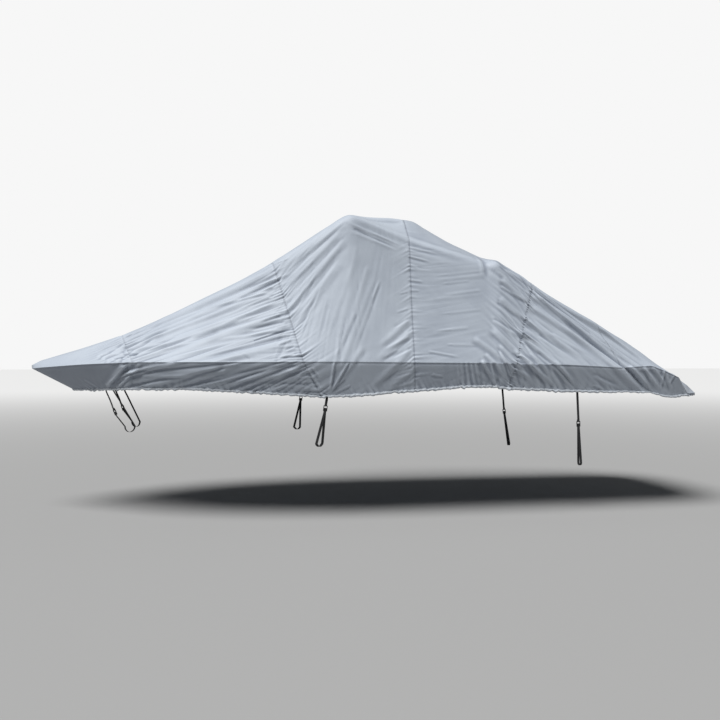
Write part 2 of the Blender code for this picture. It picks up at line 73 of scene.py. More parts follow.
CORNER_RADIUS = 0.0006       # and where the side hems end in it
LEAST_LENGTH = 1e-4

# One row for each cross-section of the cover, from the stem to the aft edge over the platform.
# top: ridge on the centre plane; inner: inner roof edge; edge: outer roof edge where the side
# begins; rail: crease at the rub rail; hem: lower edge; soft: rounding along the boat. In millimetres.
SECTION_COLUMNS = (
    "name", "top_x", "top_z", "inner_y", "inner_z", "edge_x", "edge_y", "edge_z",
    "rail_x", "rail_y", "rail_z", "hem_x", "hem_y", "hem_z", "soft",
)
SECTIONS = [
    ("stem", -3200, -38, 3, -40, -3200, 7, -46, -3196, 11, -74, -2770, 10, -300, 0),
    ("nose", -3110, 10, 20, 6, -3110, 45, -6, -3100, 110, -64, -2720, 70, -300, 30),
    ("foredeck", -2720, 130, 70, 128, -2700, 170, 112, -2660, 500, -32, -2450, 350, -295, 100),
    ("seam_a", -2300, 270, 140, 268, -2260, 310, 245, -2110, 880, -8, -2140, 720, -280, 100),
    ("windscreen", -1720, 530, 220, 525, -1680, 490, 515, -1500, 1100, -6, -1500, 970, -282, 120),
    ("fore_slope", -1080, 842, 320, 835, -1060, 640, 812, -960, 1190, -6, -900, 1085, -315, 120),
    ("seam_b", -740, 1020, 380, 1012, -770, 720, 978, -500, 1235, -3, -300, 1140, -352, 100),
    ("upper_slope", -340, 1285, 450, 1275, -360, 820, 1255, -230, 1248, -3, -120, 1160, -352, 100),
    ("front_bar", 20, 1525, 520, 1520, 0, 900, 1500, 20, 1250, -4, 60, 1168, -342, 90),
    ("seam_c", 680, 1530, 500, 1516, 620, 862, 1215, 575, 1250, -10, 600, 1172, -302, 80),
    ("rear_bar", 775, 1528, 450, 1512, 755, 862, 1182, 750, 1250, -12, 760, 1174, -291, 60),
    ("rear_slope", 1150, 1325, 420, 1305, 1150, 872, 1092, 1120, 1248, -15, 1120, 1175, -266, 100),
    ("knob_front", 1500, 1180, 380, 1165, 1430, 885, 1020, 1420, 1242, -18, 1410, 1170, -264, 40),
    ("knob", 1690, 1100, 400, 1095, 1570, 905, 1050, 1500, 1238, -20, 1470, 1166, -272, 35),
    ("knob_back", 1840, 970, 420, 965, 1750, 920, 925, 1560, 1234, -22, 1510, 1163, -278, 80),
    ("seam_d", 2000, 840, 420, 835, 1940, 935, 795, 1620, 1230, -24, 1545, 1160, -284, 100),
    ("aft_slope", 2320, 615, 420, 612, 2270, 970, 587, 2200, 1215, -34, 2240, 1140, -318, 100),
    ("seam_e", 2580, 455, 420, 452, 2550, 1000, 420, 2800, 1190, -66, 3120, 1108, -327, 80),
    ("quarter", 2900, 270, 420, 268, 2860, 1030, 236, 2990, 1175, -52, 3230, 1095, -352, 60),
    ("transom_rise", 3080, 130, 420, 128, 3060, 1050, 98, 3130, 1160, -46, 3320, 1080, -376, 50),
    ("transom", 3270, 0, 420, -4, 3230, 1050, -22, 3250, 1145, -86, 3420, 1060, -384, 40),
    ("corner", 3500, -120, 420, -124, 3440, 1010, -136, 3465, 1110, -168, 3600, 1020, -366, 20),
    ("platform", 3740, -236, 400, -240, 3690, 880, -248, 3625, 1000, -342, 3660, 965, -374, 20),
    ("aft_edge", 3895, -312, 360, -316, 3850, 730, -322, 3845, 790, -340, 3835, 765, -368, 10),
    ("aft_hem", 3920, -368, 350, -368, 3866, 715, -370, 3855, 755, -371, 3842, 730, -372, 0),
]

# Folds of the sides, read from the port side. Each runs straight from its start to its end, places
# in the side view (x, z). width: half width of the crest; height: of the crest over the cloth;
# bow: how far its middle is lifted off the straight line.
SIDE_FOLDS = [
    # start_x, start_z, end_x, end_z in cm; width, height, bow in mm
    # foredeck and windscreen slope, fanning down and forward from seam b
    (-72, 93, -228, 24, 55, 14), (-74, 72, -210, 21, 60, 18, -10), (-72, 62, -195, 12, 60, 20, -20),
    (-70, 46, -200, 4, 70, 20, -20), (-62, 30, -160, 5, 60, 14, -10), (-54, 15, -135, 0, 55, 10),
    # skirt of the bow
    (-125, -4, -206, -27, 60, 18, 10), (-72, -10, -150, -28, 60, 16), (-218, -2, -242, -29, 45, 16, 10),
    (-203, -2, -220, -24, 40, 14, 10),
    # fan from the front corner of the tower down to seam b
    (-4, 140, -76, 86, 45, 12), (-6, 130, -72, 66, 50, 18), (-3, 124, -67, 46, 55, 20),
    (-10, 98, -60, 30, 55, 16), (6, 110, -20, 0, 50, 9, -10), (16, 96, -12, 10, 50, 8, -10),
    # pulled to the middle strap
    (24, 86, -24, -30, 45, 14), (10, 16, -25, -33, 40, 14), (-12, 34, -25, -30, 40, 11),
    # meeting seam c from below
    (58, 43, 20, 12, 50, 16, -10), (58, 30, 18, 0, 50, 18, -10), (56, 12, 14, -28, 55, 20),
    (62, -6, 30, -29, 45, 14),
    # from the front corner of the tower to the knob
    (2, 147, 146, 102, 60, 16, -30),
    # across the middle panel
    (144, 90, 74, 80, 45, 5), (138, 70, 76, 62, 45, 5), (120, 33, 70, 28, 45, 5),
    # under the knob and across seam d
    (156, 86, 195, 52, 45, 16), (152, 66, 192, 32, 45, 14), (162, 98, 302, 8, 50, 16, 10),
    (188, 72, 284, -3, 55, 26, 10), (184, 58, 260, 5, 50, 18, 10), (176, 44, 244, -2, 50, 20, 10),
    (166, 34, 230, -29, 50, 22, 10), (140, 34, 195, -24, 50, 18, 10), (120, 24, 166, -10, 50, 14, 10),
    (126, 2, 144, -24, 40, 12),
    # skirt of the stern
    (286, -4, 314, -31, 35, 22, 10), (302, -5, 326, -33, 35, 18, 10), (312, -5, 336, -30, 35, 16, 10),
    (326, -8, 342, -33, 35, 16),
]
# Folds of the roof, in plan (x, y), with the same other columns.
ROOF_FOLDS = [
    # start_x, start_y, end_x, end_y in cm; width, height, bow in mm
    (5, -30, 74, -20, 70, 12), (5, 36, 74, 24, 70, 12), (0, -70, 72, -42, 50, 14),
    (0, 70, 72, 42, 50, 14), (80, -30, 180, -34, 70, 12, 30), (80, 22, 180, 30, 70, 12, 30),
    (170, -62, 330, -30, 70, 14, 20), (170, 58, 320, 34, 70, 14, 20), (180, 10, 340, 2, 80, 10, 20),
    (-5, -40, -210, -8, 70, 12, 20), (-5, 34, -220, 6, 70, 12, 20), (-10, -66, -160, -30, 55, 12),
    (-10, 64, -150, 30, 55, 12),
]
FOLD_TROUGH = 0.65           # depth of the trough under a crest, as a share of its height
TROUGH_OFFSET = 1.5          # from crest to trough, in widths of the crest
TROUGH_WIDTH = 1.1           # width of the trough, in widths of the crest
FOLD_REACH = 3.0             # widths of the crest that a fold is worked out over
FOLD_RISE = 0.12             # share of a fold's length over which it rises at its start
FOLD_FALL = 0.35             # and over which it dies out at its end
STEM_CALM = 0.20             # stretch at the bow, and at the stern, that stays free of folds
AFT_CALM = 0.10
STARBOARD_DRIFT = 0.05       # how far the starboard folds lie from a true mirror of the port ones
DRIFT_TURNS = (1.7, 2.3)     # radians that their drift turns on from one fold to the next
STARBOARD_HEIGHT = 0.85      # their mean height, as a share of the port folds' height
DRIFT_HEIGHT = 3.0           # and how much each one's own drift adds to that, for each metre
FOLD_WIDTH_SHARE = 0.62      # the solid's side folds are drawn narrower and lower on the fine cloth
FOLD_HEIGHT_SHARE = 0.72
CALM_FOLDS = [
    # lowest and highest start_x, lowest and highest start_z, share of the height: lower forward folds
    (-0.50, 0.30, 0.80, 1.60, 0.45),
    (-0.15, 0.12, 0.10, 0.36, 0.50),
    (0.50, 0.65, -0.10, 0.50, 0.55),
    (1.10, 1.50, 0.20, 1.00, 0.45),
    (-0.80, -0.50, 0.10, 1.00, 0.70),
]

# Lines that run along the cover: share of the half-girth where each lies, rounding across it
# and fine cells of the cloth between it and the next line outwards.
LINES = [
    # name, share of half-girth, rounding, fine cells to the next line
    ("top", 0.00, 0.050, 30),
    ("inner", 0.17, 0.050, 30),
    ("edge", 0.33, 0.050, 170),
    ("rail", 0.88, 0.000, 34),
    ("hem", 1.00, 0.000, 0),
]
SKIRT_CELLS = LINES[3][3]
ROUNDING_STEPS = 9           # samples that a rounding is averaged over
ROUNDING_FALL = 0.8          # how much less the outermost sample counts than the middle one
ROOF = (0.25, 0.12)          # share of the half-girth where the roof's gathers give way, and their fade

PANELS = [
    # name, first section, last section, flat width from hem to hem, flat length along the boat
    ("bow_panel", "stem", "seam_a", 2.70, 1.12),
    ("fore_panel", "seam_a", "seam_b", 4.50, 1.95),
    ("tower_panel", "seam_b", "seam_c", 6.00, 1.75),
    ("mid_panel", "seam_c", "seam_d", 5.85, 1.45),
    ("aft_panel", "seam_d", "seam_e", 4.50, 1.70),
    ("stern_panel", "seam_e", "aft_hem", 3.60, 1.55),
]

# Finer creases of the sides, with the columns of SIDE_FOLDS. A height below 0 is a valley, and a crease
# without a bow runs straight.
CREASES = [
    # start_x, start_z, end_x, end_z in cm; width, height, bow in mm
    # fan of the fore panel from seam b
    (-81, 82, -219, 22, 21, -7), (-79, 77, -177, 34, 17, 6), (-83, 71, -211, 19, 18, -6),
    (-79, 69, -142, 53, 13, 6), (-75, 75, -108, 63, 12, 6), (-74, 61, -136, 34, 16, -7),
    (-77, 65, -116, 49, 13, 7), (-69, 46, -91, 38, 11, 6), (-65, 39, -106, 30, 13, -6),
    (-68, 31, -135, 20, 15, 6), (-60, 21, -75, 15, 11, 6), (-62, 25, -151, 0, 34, -12, 10),
    (-57, 15, -68, 10, 10, -5), (-55, 9, -79, 1, 11, 6), (-107, 8, -97, 3, 10, 4),
    (-108, 43, -185, 9, 22, 6), (-126, 31, -195, 4, 26, -7),
    # either side of seam a
    (-225, 8, -244, -2, 12, 5), (-221, 4, -236, -2, 11, -5), (-227, 13, -250, 5, 13, 5),
    (-223, 12, -178, 29, 15, 5), (-218, 5, -173, 24, 15, -6), (-210, 1, -147, 24, 18, 5),
    (-218, 11, -196, 20, 12, 4),
    # skirt of the fore panel
    (-54, -2, -123, -28, 22, -10), (-50, -4, -102, -28, 18, 8), (-63, -20, -94, -30, 13, -6),
    (-122, -5, -166, -19, 19, -7), (-110, -19, -135, -28, 15, -5), (-48, -5, -28, -32, 12, 7),
    (-41, -6, -32, -18, 10, 6), (-56, -16, -49, -10, 10, 5), (-51, -22, -44, -17, 10, 5),
    (-47, -28, -41, -23, 10, 5),
    # pulled up from the middle strap
    (29, 82, -6, 0, 15, 6), (-6, 0, -24, -32, 12, 12), (3, 50, -20, 1, 15, 6),
    (-20, 1, -24, -32, 11, 10), (-7, 45, -17, 1, 11, -5), (-3, -23, -21, -32, 9, 5),
    (-9, -16, -23, -29, 9, 5),
    # skirt of the bow
    (-216, -3, -240, -27, 13, 18), (-211, -12, -229, -27, 12, 16), (-264, -18, -247, -28, 12, 4),
    (-206, -14, -147, -14, 19, 8), (-205, -11, -147, -5, 15, -6), (-205, -22, -147, -12, 15, -6),
    (-176, -26, -142, -18, 12, 4),
    # meeting seam c from the tower
    (43, 12, 25, 2, 13, 3.6), (58, 14, 34, 3, 13, -3.6), (57, 25, 24, 9, 17, 4.2),
    (57, 43, 38, 32, 13, -3), (57, 53, 43, 48, 11, 3), (58, 70, 47, 67, 10, 2.4),
    (52, -1, 25, -19, 15, 3.6), (60, -20, 29, -29, 15, 3.6), (57, -10, 37, -16, 12, -3),
    (57, -4, 40, -10, 12, 2.4),
    # short, on the middle panel
    (72, 10, 108, 4, 11, 4), (92, 17, 128, 16, 10, 3), (76, -13, 90, -15, 11, 4),
    (59, 117, 95, 110, 13, 5), (59, 107, 85, 101, 12, 5), (59, 97, 72, 94, 11, 4),
    (58, 82, 76, 80, 11, 4), (59, 71, 71, 71, 11, 3),
    # thin, over the middle panel
    (142, 94, 80, 86, 12, 2), (136, 73, 92, 67, 12, 2.8), (134, 53, 85, 47, 11, 2.2),
    (124, 83, 90, 78, 10, 2.6), (118, 34, 80, 30, 11, 3),
    # across seam d
    (146, 12, 163, -25, 15, 8), (127, 1, 140, -21, 13, 6), (172, 24, 191, -8, 15, 8),
    (176, -2, 202, -26, 15, 8), (204, 1, 231, -28, 12, 9), (248, 30, 285, 0, 15, 6),
    (205, 29, 244, 6, 17, 6), (191, 28, 223, 6, 15, -6), (177, 28, 207, 3, 15, 6),
    (155, 78, 184, 60, 15, 6), (151, 62, 174, 44, 15, 6), (144, 44, 171, 27, 15, -6),
    # skirt of the stern
    (246, -12, 282, -27, 17, -5), (247, -24, 267, -31, 12, 4), (294, -15, 312, -31, 11, 8),
    (305, -8, 316, -24, 11, 6), (329, -5, 326, -30, 12, 7), (342, -12, 335, -25, 12, 6),
    # front of the knob
    (142, 112, 142, 84, 26, -8), (154, 114, 152, 92, 60, 10),
    # light, over seam e
    (260, 36, 312, -4, 14, 8), (272, 36, 322, 2, 16, -8),
    # fan from the front corner of the tower
    (-2, 143, -74, 80, 14, 3), (-3, 141, -73, 73, 13, -3.5), (-6, 133, -70, 64, 14, 3),
    (-6, 125, -68, 56, 14, -3.5), (-9, 115, -65, 47, 14, 3.5), (-12, 104, -62, 39, 14, -3.5),
    (-16, 94, -59, 30, 15, 3), (-29, 75, -55, 24, 14, -3), (-39, 55, -53, 20, 11, 2.5),
    (6, 116, -7, 60, 18, 3), (1, 95, -28, 16, 19, 3), (15, 99, -1, 50, 16, -3),
    # from the front corner of the tower to seam c
    (2, 137, 55, 117, 12, 5), (0, 133, 52, 113, 14, -7), (-4, 141, 23, 126, 11, 4),
    # across the rail by seam d
    (146, 18, 183, -25, 22, 10), (161, 12, 208, -27, 22, 13), (186, 11, 231, -28, 14, -12),
    (131, 9, 160, -25, 20, 7),
    # the deep fold by seam e
    (218, 45, 330, -45, 34, -20), (240, 27, 330, -45, 12, -10),
    # through seam a
    (-246, 4, -221, 18, 16, -18), (-240, 2, -216, 12, 16, -20), (-230, 1, -211, 9, 14, -20),
    (-223, 1, -205, 8, 13, -18), (-222, 6, -190, 24, 16, -18), (-219, 3, -166, 26, 16, -18),
    (-224, 12, -176, 33, 16, -18), (-214, 1, -148, 26, 16, -16),
]

# Gathers along the seams, short ones and longer ones. reach: how far they run into the cloth before and
# after the seam; lean: how far down they go for each metre away from it.
GATHERS = [
    # seam, wave, height, reach_fore, reach_aft, lean_fore, lean_aft
    ("seam_a", 0.055, 0.0300, 0.12, 0.13, 0.35, -0.30),
    ("seam_a", 0.090, 0.0160, 0.22, 0.34, 0.35, -0.25),
    ("seam_b", 0.044, 0.0125, 0.11, 0.09, 0.05, -0.55),
    ("seam_b", 0.090, 0.0110, 0.34, 0.20, 0.02, -0.50),
    ("seam_c", 0.050, 0.0070, 0.08, 0.07, 0.90, -0.10),
    ("seam_d", 0.034, 0.0200, 0.06, 0.07, -0.60, 0.50),
    ("seam_d", 0.095, 0.0110, 0.22, 0.24, -0.55, 0.45),
    ("seam_e", 0.075, 0.0020, 0.07, 0.05, 0.00, 0.00),
    ("seam_d", 0.028, 0.0110, 0.030, 0.035, -0.60, 0.50),
]
ROOF_GATHER = 0.6            # height of the gathers on the roof, as a share of the side's
SEAMS = {
    # depth of the stitched groove, and how far painted shade darkens its line
    "seam_a": (0.0012, 0.12),
    "seam_b": (0.0036, 0.42),
    "seam_c": (0.0030, 0.40),
    "seam_d": (0.0022, 0.12),
    "seam_e": (0.0016, 0.08),
}
# Long thin creases that spread from a point in the side view. spacing: angle between them; from_x, to_x
# and fades: the stretch of the cover that they run over; side, skirt: share of the height there.
FANS = [
    # centre_x, centre_z, spacing, height, from_x, to_x, fade_fore, fade_aft, side, skirt
    (-5.00, -0.90, 0.0190, 0.0170, -2.40, -0.55, 0.80, 0.15, 1.0, 0.0),
    (-5.00, -0.90, 0.0150, 0.0150, -2.66, -1.60, 0.25, 0.50, 1.0, 0.0),
    (0.02, 1.58, 0.0500, 0.0034, -0.80, 0.20, 0.05, 0.25, 1.0, 0.3),
    (0.60, 2.40, 0.0450, 0.0014, -0.10, 0.65, 0.30, 0.20, 1.0, 0.5),
    (6.00, 1.40, 0.0150, 0.0018, 0.62, 1.50, 0.10, 0.30, 1.0, 0.6),
    (-1.50, 3.50, 0.0150, 0.0120, 1.30, 3.30, 0.35, 0.50, 1.0, 0.5),
    (0.10, 0.20, 0.0500, 0.0200, -2.15, -0.35, 0.25, 0.15, 0.0, 1.0),
    (0.60, 2.10, 0.0300, 0.0180, 0.80, 2.50, 0.50, 0.70, 0.0, 1.0),
]
FAN_LEVEL = 0.3              # height of the point that a fan's angles are counted from
# How uneven some things are: mean, swing, spacing of the swings, least and most.
GATHER_VARIES = (0.80, 0.50, 0.30, 0.25, 1.3)
REACH_VARIES = (0.85, 0.90, 3.1, 0.30, 1.6)  # spacing in waves of the gathers
FAN_VARIES = (0.65, 0.70, 0.70, 0.05, 1.3)
LEAN_VARIES = (0.45, 0.35, 0.90)
SKIRT_VARIES = (0.60, 0.50, 0.80)
FAN_BEND = (0.6, 2.3)        # how far the fans' swings are bent, and their spacing in creases
GATHER_FALL = 1.3            # how steeply the gathers end
HEM_WAVE = 0.052             # spacing of the puckers that the drawcord makes
HEM_HEIGHT = 0.0105
HEM_REACH = 0.050
SKIRT_WAVE = 0.110           # and of the longer folds that rise from it
SKIRT_HEIGHT = 0.0060
SKIRT_REACH = 0.080
SKIRT_START = 0.05           # distance under the rail crease where they are full
SKIRT_LEAN = -0.8            # their lean, as a share of the puckers'
HEM_RISE = (0.0042, 0.0021)  # how far the lower edge rises and falls, in short waves and in long ones
HEM_RISE_WAVES = (0.075, 0.50)
AFT_HEM_CALM = (2.90, 0.25, 0.65)  # from here, over that stretch, the hem loses that share of its waves
UNDERCUT = 0.004             # depth of the pulled-in line just under the rail crease
UNDERCUT_PLACE = (0.013, 0.010)  # how far below the crease it lies, and its width
RAIL_TURN = 0.012            # stretch at the rail crease where the skirt's creases take over
RAIL_SOFT = (1.15, 2.10, 0.20)  # stretch by seam d where folds run over the rail crease, and its fade
BOW_FLARE = (-2.70, 1.00)    # from the stem to here the skirt lies in the shade of the flare, and the fade
WOBBLES = [
    # spacing, height, direction in degrees
    (0.52, 0.0016, 25.0),
    (0.37, 0.0010, 105.0),
    (0.17, 0.0004, 60.0),
]
WOBBLE_GIRTH = 0.3           # share of the way round the girth that adds to the height in the side view
WOBBLE_CROSS = 2.2           # spacing of the waves across each of these, in spacings of its own

# Uneven waves: spacing of each as a share of the mean, about how high they add up, and the rounding and
# mean height of the gathers made of them. A shift makes starboard differ from port.
RIPPLES = (0.62, 0.81, 1.0, 1.27, 1.73)
RIPPLE_LEAST = 0.6           # least share of the full height that one of them has
RIPPLE_HEIGHT = 2.4
GATHER_ROUND = 0.02
GATHER_MEAN = 0.45
HEM_SHIFT = 17.3
SEAM_SHIFT = 31.7
FAN_SHIFT = 11.3
LEAN_SEED, PUCKER_SEED, SKIRT_SEED, STRENGTH_SEED = 71, 72, 73, 74
EDGE_SEEDS = (75, 76)
ROLL_SEED = 77
LIP_SEED = 78
WOBBLE_SEED = 80             # from here on one for each row of a table
CROSS_SEED = 90
GATHER_SEED = 100
UNEVEN_SEED = 200
REACH_SEED = 300
FAN_SEED = 400
FAN_BEND_SEED = 420
FAN_LENGTH_SEED = 440

# Tie-down straps of the port side; the starboard ones mirror them. A tab of webbing is sewn to the
# hem and ends in a buckle. The strap runs from the buckle to its foot, turns there, drifts aft by
# drift_x over the turn and comes back to the buckle, or to the hem where back_x gives a place.
TIE_COLUMNS = ("name", "hem_x", "buckle_x", "buckle_y", "buckle_z",
               "foot_x", "foot_y", "foot_z", "turn_radius", "drift_x", "back_x")
TIES = [
    ("bow", -2.410, -2.320, 0.400, -0.515, -2.225, 0.390, -0.660, 0.060, 0.00, -2.330),
    ("mid", -0.262, -0.275, 1.135, -0.455, -0.360, 1.110, -0.800, 0.030, 0.06, None),
    ("aft", 2.320, 2.340, 1.115, -0.640, 2.380, 1.090, -1.040, 0.030, 0.00, None),
]
WEB_WIDTH = 0.025
WEB_THICKNESS = 0.0018
WEB_SECTION = [              # upper half of its section, as shares of its half width and half thickness
    (1.0, 0.3), (0.93, 1.0), (0.45, 1.15), (0.0, 1.0), (-0.45, 1.15), (-0.93, 1.0), (-1.0, 0.3),
]
TAB_SEAT = [                 # distance inside the hem's middle line and height over it: sewn, and leaving it
    (0.0060, 0.036), (0.0060, 0.012), (0.0030, -0.010),
]
STRAP_SEAT = [(0.0030, -0.004), (0.0060, 0.024)]
BAR_TURN = 0.0046            # radius of the webbing's turn round a bar
TAB_WRAP = [                 # along the buckle from its upper bar, and outwards
    (-0.020, 0.0040), (0.0, BAR_TURN), (BAR_TURN, 0.0), (0.0, -BAR_TURN), (-0.022, -BAR_TURN),
]
UPPER_BAR = 0.0243           # distance of that bar from the buckle's middle
STRAP_START = (0.0192, 0.00512)  # along the buckle from its middle, and outwards
STRAP_OUTLET = (0.0273, 0.00448)
STRAP_DOWN = (0.35, 0.7, 0.95)  # points of a strap, as shares of its way down and back up
STRAP_UP = (0.05, 0.35, 0.7, 1.0)
TURN_STEPS = 8               # of its turn round its foot
TAB_STEP = 0.004             # spacing of the points of a path
STRAP_STEP = 0.006
CURVE_STEPS = 24             # between two points of a route
HEM_STEP = 0.02              # half step along the hem for its direction
BUCKLE_BARS = [
    # from and to along it, across it and through it, from its middle
    (-0.0270, 0.0270, -0.0190, -0.0145, -0.0035, 0.0035),
    (-0.0270, 0.0270, 0.0145, 0.0190, -0.0035, 0.0035),
    (-0.0270, -0.0215, -0.0165, 0.0165, -0.0025, 0.0025),
    (-0.0035, 0.0020, -0.0165, 0.0165, -0.0025, 0.0025),
    (0.0205, 0.0260, -0.0165, 0.0165, -0.0030, 0.0030),
    (0.0010, 0.0200, -0.0135, 0.0135, 0.0030, 0.0056),
]
RIDGE = (0.0040, 0.0056, -0.0125, 0.0125, 0.0052, 0.0064)  # first of those on the buckle's thumb plate
RIDGES = 4
RIDGE_STEP = 0.0042
BUCKLE_ROUND = 0.0010        # rounding of its edges, and of the ridges'
RIDGE_ROUND = 0.0004

CLOTH_COLOUR = (0.368, 0.410, 0.470)
CLOTH_DEEP = (0.338, 0.378, 0.438)
STITCH_COLOUR = (0.20, 0.22, 0.26)
# painted shade along the seam lines
SEAM_SHADE_COLOUR = (0.11, 0.12, 0.15)
# painted shade in the cloth's hollows and painted highlight on its crests
HOLLOW_SHADE_COLOUR = (0.128, 0.150, 0.200)
CREST_HIGHLIGHT_COLOUR = (0.520, 0.570, 0.640)
HOLLOW_SHADE = 0.54          # how far painted shade darkens the sharpest hollows
CREST_HIGHLIGHT_SHARE = 0.22           # and how far painted highlight lightens the crests
PANEL_SHADES = {"seam_b": 0.35, "seam_c": -0.25}  # painted light and shade of the panels behind these seams
# painted highlight on the rolled hem
HEM_HIGHLIGHT_COLOUR = (0.53, 0.565, 0.61)
HEM_HIGHLIGHT_SHARE = 0.75
BOW_SKIRT_DARK = 0.90        # how far painted shade darkens the skirt under the flare of the bow, as a share of a full hollow
STITCH_ROWS = (0.0030, 0.0110)  # of a seam's two rows from its edge
STITCHES = 200.0             # for each metre
STITCH_FILL = 0.72           # share of a stitch that shows
THREAD_EDGE = (0.0005, 0.0010)  # distance from its row over which a thread ends
SEAM_SHADE_EDGE = (0.001, 0.009)   # and painted shade from the seam's middle
MOTTLE = (3.2, 4.0)          # scale and detail of the cloth's uneven tone, and the stretch that shows
MOTTLE_RANGE = (0.36, 0.66)
CRUMPLES = [
    # scale, detail, roughness, depth, strength
    (7.0, 5.0, 0.55, 0.010, 0.20),
    (38.0, 3.0, 0.50, 0.0016, 0.25),
]
# Depth and strength of the finest relief, and the waves of the weaves, in radians for each metre.
CLOTH_BUMP = (0.00012, 0.30)
THREAD_BUMP = (0.0008, 0.6)
WEB_BUMP = (0.0006, 0.7)
PLASTIC_BUMP = (0.0002, 0.3)
CLOTH_WEAVE = (5200.0, 5200.0)
WEB_WEAVE = (2900.0, 2100.0)
WEB_RANGE = (-0.8, 0.8)
WEB_COLOURS = (0.010, 0.010, 0.012), (0.026, 0.026, 0.028)
PLASTIC_COLOURS = (0.010, 0.010, 0.011), (0.018, 0.018, 0.019)
PLASTIC_GRAINS = (60.0, 900.0)
PLASTIC_DETAIL = 2.0


# ---------------------------------------------------------------- the cover's smooth surface
def unit(vectors):
    return vectors / np.maximum(np.linalg.norm(vectors, axis=-1, keepdims=True), 1e-12)


def path_run(path):
    """Distance of each point of a path from its start."""
    return np.concatenate([[0.0], np.cumsum(np.linalg.norm(np.diff(path, axis=0), axis=1))])


def eased(value):
    """0 to 1 with a soft start and end."""
    value = np.clip(value, 0.0, 1.0)
    return value * value * (3.0 - 2.0 * value)


def to_frame(points):
    """From the tables' places to the row frame."""
    return points - np.array([TOWER_TOP_X, 0.0, TOWER_TOP_Z])


TABLE = dict(zip(SECTION_COLUMNS[1:], np.array([row[1:] for row in SECTIONS]).T / 1000))
TABLE["top_y"] = np.zeros(len(SECTIONS))
TABLE["inner_x"] = TABLE["top_x"] + (TABLE["edge_x"] - TABLE["top_x"]) * TABLE["inner_y"] / TABLE["edge_y"]
ALONG = (TABLE["top_x"] + TABLE["edge_x"] + TABLE["rail_x"] + TABLE["hem_x"]) / 4
SECTION_PLACE = {row[0]: place for row, place in zip(SECTIONS, ALONG)}
GIRTH = {row[0]: row[1] for row in LINES}
SHARES = np.array([row[1] for row in LINES])
ROUNDINGS = np.array([row[2] for row in LINES])
SPREAD = np.linspace(-1.0, 1.0, ROUNDING_STEPS)
SPREAD_WEIGHTS = 1.0 - np.abs(SPREAD) * ROUNDING_FALL
SPREAD_WEIGHTS /= SPREAD_WEIGHTS.sum()


def lines_at(along):
    """The points of all lines at each place along the cover, as (places, lines, xyz)."""
    soft = np.interp(along, ALONG, TABLE["soft"])
    points = np.zeros((len(along), len(LINES), 3))
    for number, (line, *_) in enumerate(LINES):
        for axis, letter in enumerate("xyz"):
            values = TABLE[f"{line}_{letter}"]
            for offset, weight in zip(SPREAD, SPREAD_WEIGHTS):
                points[:, number, axis] += weight * np.interp(along + offset * soft, ALONG, values)
    return points


def shares_at(across):
    """How much each line counts at each place across, and the same with the side's sign."""
    rounding = np.interp(np.abs(across), SHARES, ROUNDINGS)
    plain = np.zeros((len(across), len(LINES)))
    signed = np.zeros_like(plain)
    for offset, weight in zip(SPREAD, SPREAD_WEIGHTS):
        place = across + offset * rounding
        for number in range(len(LINES)):
            share = np.interp(np.abs(place), SHARES, np.eye(len(LINES))[number])
            plain[:, number] += weight * share
            signed[:, number] += weight * share * np.sign(place)
    return plain, signed


def smooth_surface(along, across):
    """The cover without its folds, as a grid of points (along, across, xyz)."""
    lines = lines_at(along)
    plain, signed = shares_at(across)
    grid = np.einsum("cl,alk->ack", plain, lines)
    grid[:, :, 1] = np.einsum("cl,al->ac", signed, lines[:, :, 1])
    down_side = np.clip((np.abs(across) - GIRTH["edge"]) / (GIRTH["rail"] - GIRTH["edge"]), 0.0, 1.0)
    height = np.clip(lines[:, 2, 2] - lines[:, 3, 2], 0.0, 1.0)
    grid[:, :, 1] -= SIDE_HOLLOW * np.sin(math.pi * down_side) * np.sign(across) * height[:, None]
    return grid


def surface_normals(along, across):
    before = smooth_surface(np.maximum(along - SLOPE_STEP, ALONG[0]), across)
    after = smooth_surface(np.minimum(along + SLOPE_STEP, ALONG[-1]), across)
    left = smooth_surface(along, np.maximum(across - SLOPE_STEP, -1.0))
    right = smooth_surface(along, np.minimum(across + SLOPE_STEP, 1.0))
    return unit(np.cross(after - before, right - left))


HEM_SAMPLES = np.linspace(ALONG[0], ALONG[-1], 2400)
HEM_LINE = lines_at(HEM_SAMPLES)[:, -1]
HEM_RUN = path_run(HEM_LINE)


# ---------------------------------------------------------------- folds, gathers and creases
def fold_height(flat_x, flat_y, start_x, start_y, end_x, end_y, width, height, bow=0.0):
    """Height of one fold over the cloth at each point of a flat view."""
    run = np.hypot(end_x - start_x, end_y - start_y)
    along_x, along_y = (end_x - start_x) / run, (end_y - start_y) / run
    up_x, up_y = (-along_y, along_x) if along_x >= 0 else (along_y, -along_x)
    part = ((flat_x - start_x) * along_x + (flat_y - start_y) * along_y) / run
    inside = np.clip(part, 0.0, 1.0)
    off = (flat_x - start_x) * up_x + (flat_y - start_y) * up_y - bow * 4.0 * inside * (1.0 - inside)
    crest = np.exp(-((off / width) ** 2))
    trough = np.exp(-(((off / width + TROUGH_OFFSET) / TROUGH_WIDTH) ** 2))
    ends = eased(part / FOLD_RISE) * eased((1.0 - part) / FOLD_FALL)
    return height * (crest - FOLD_TROUGH * trough) * ends


def drifted(fold, number):
    """A starboard fold: its port twin, a little moved, weakened or strengthened."""
    start_x, start_z, end_x, end_z, width, height, *bow = fold
    shift = STARBOARD_DRIFT * math.sin(DRIFT_TURNS[0] * number)
    lean = STARBOARD_DRIFT * math.cos(DRIFT_TURNS[1] * number)
    share = STARBOARD_HEIGHT + DRIFT_HEIGHT * shift
    return (start_x + lean, start_z, end_x + shift, end_z, width, height * share, *bow)


def in_metres(folds):
    """Folds from a table in centimetres, with their widths, heights and bows in millimetres."""
    return [(*(place / 100 for place in fold[:4]), *(size / 1000 for size in fold[4:])) for fold in folds]


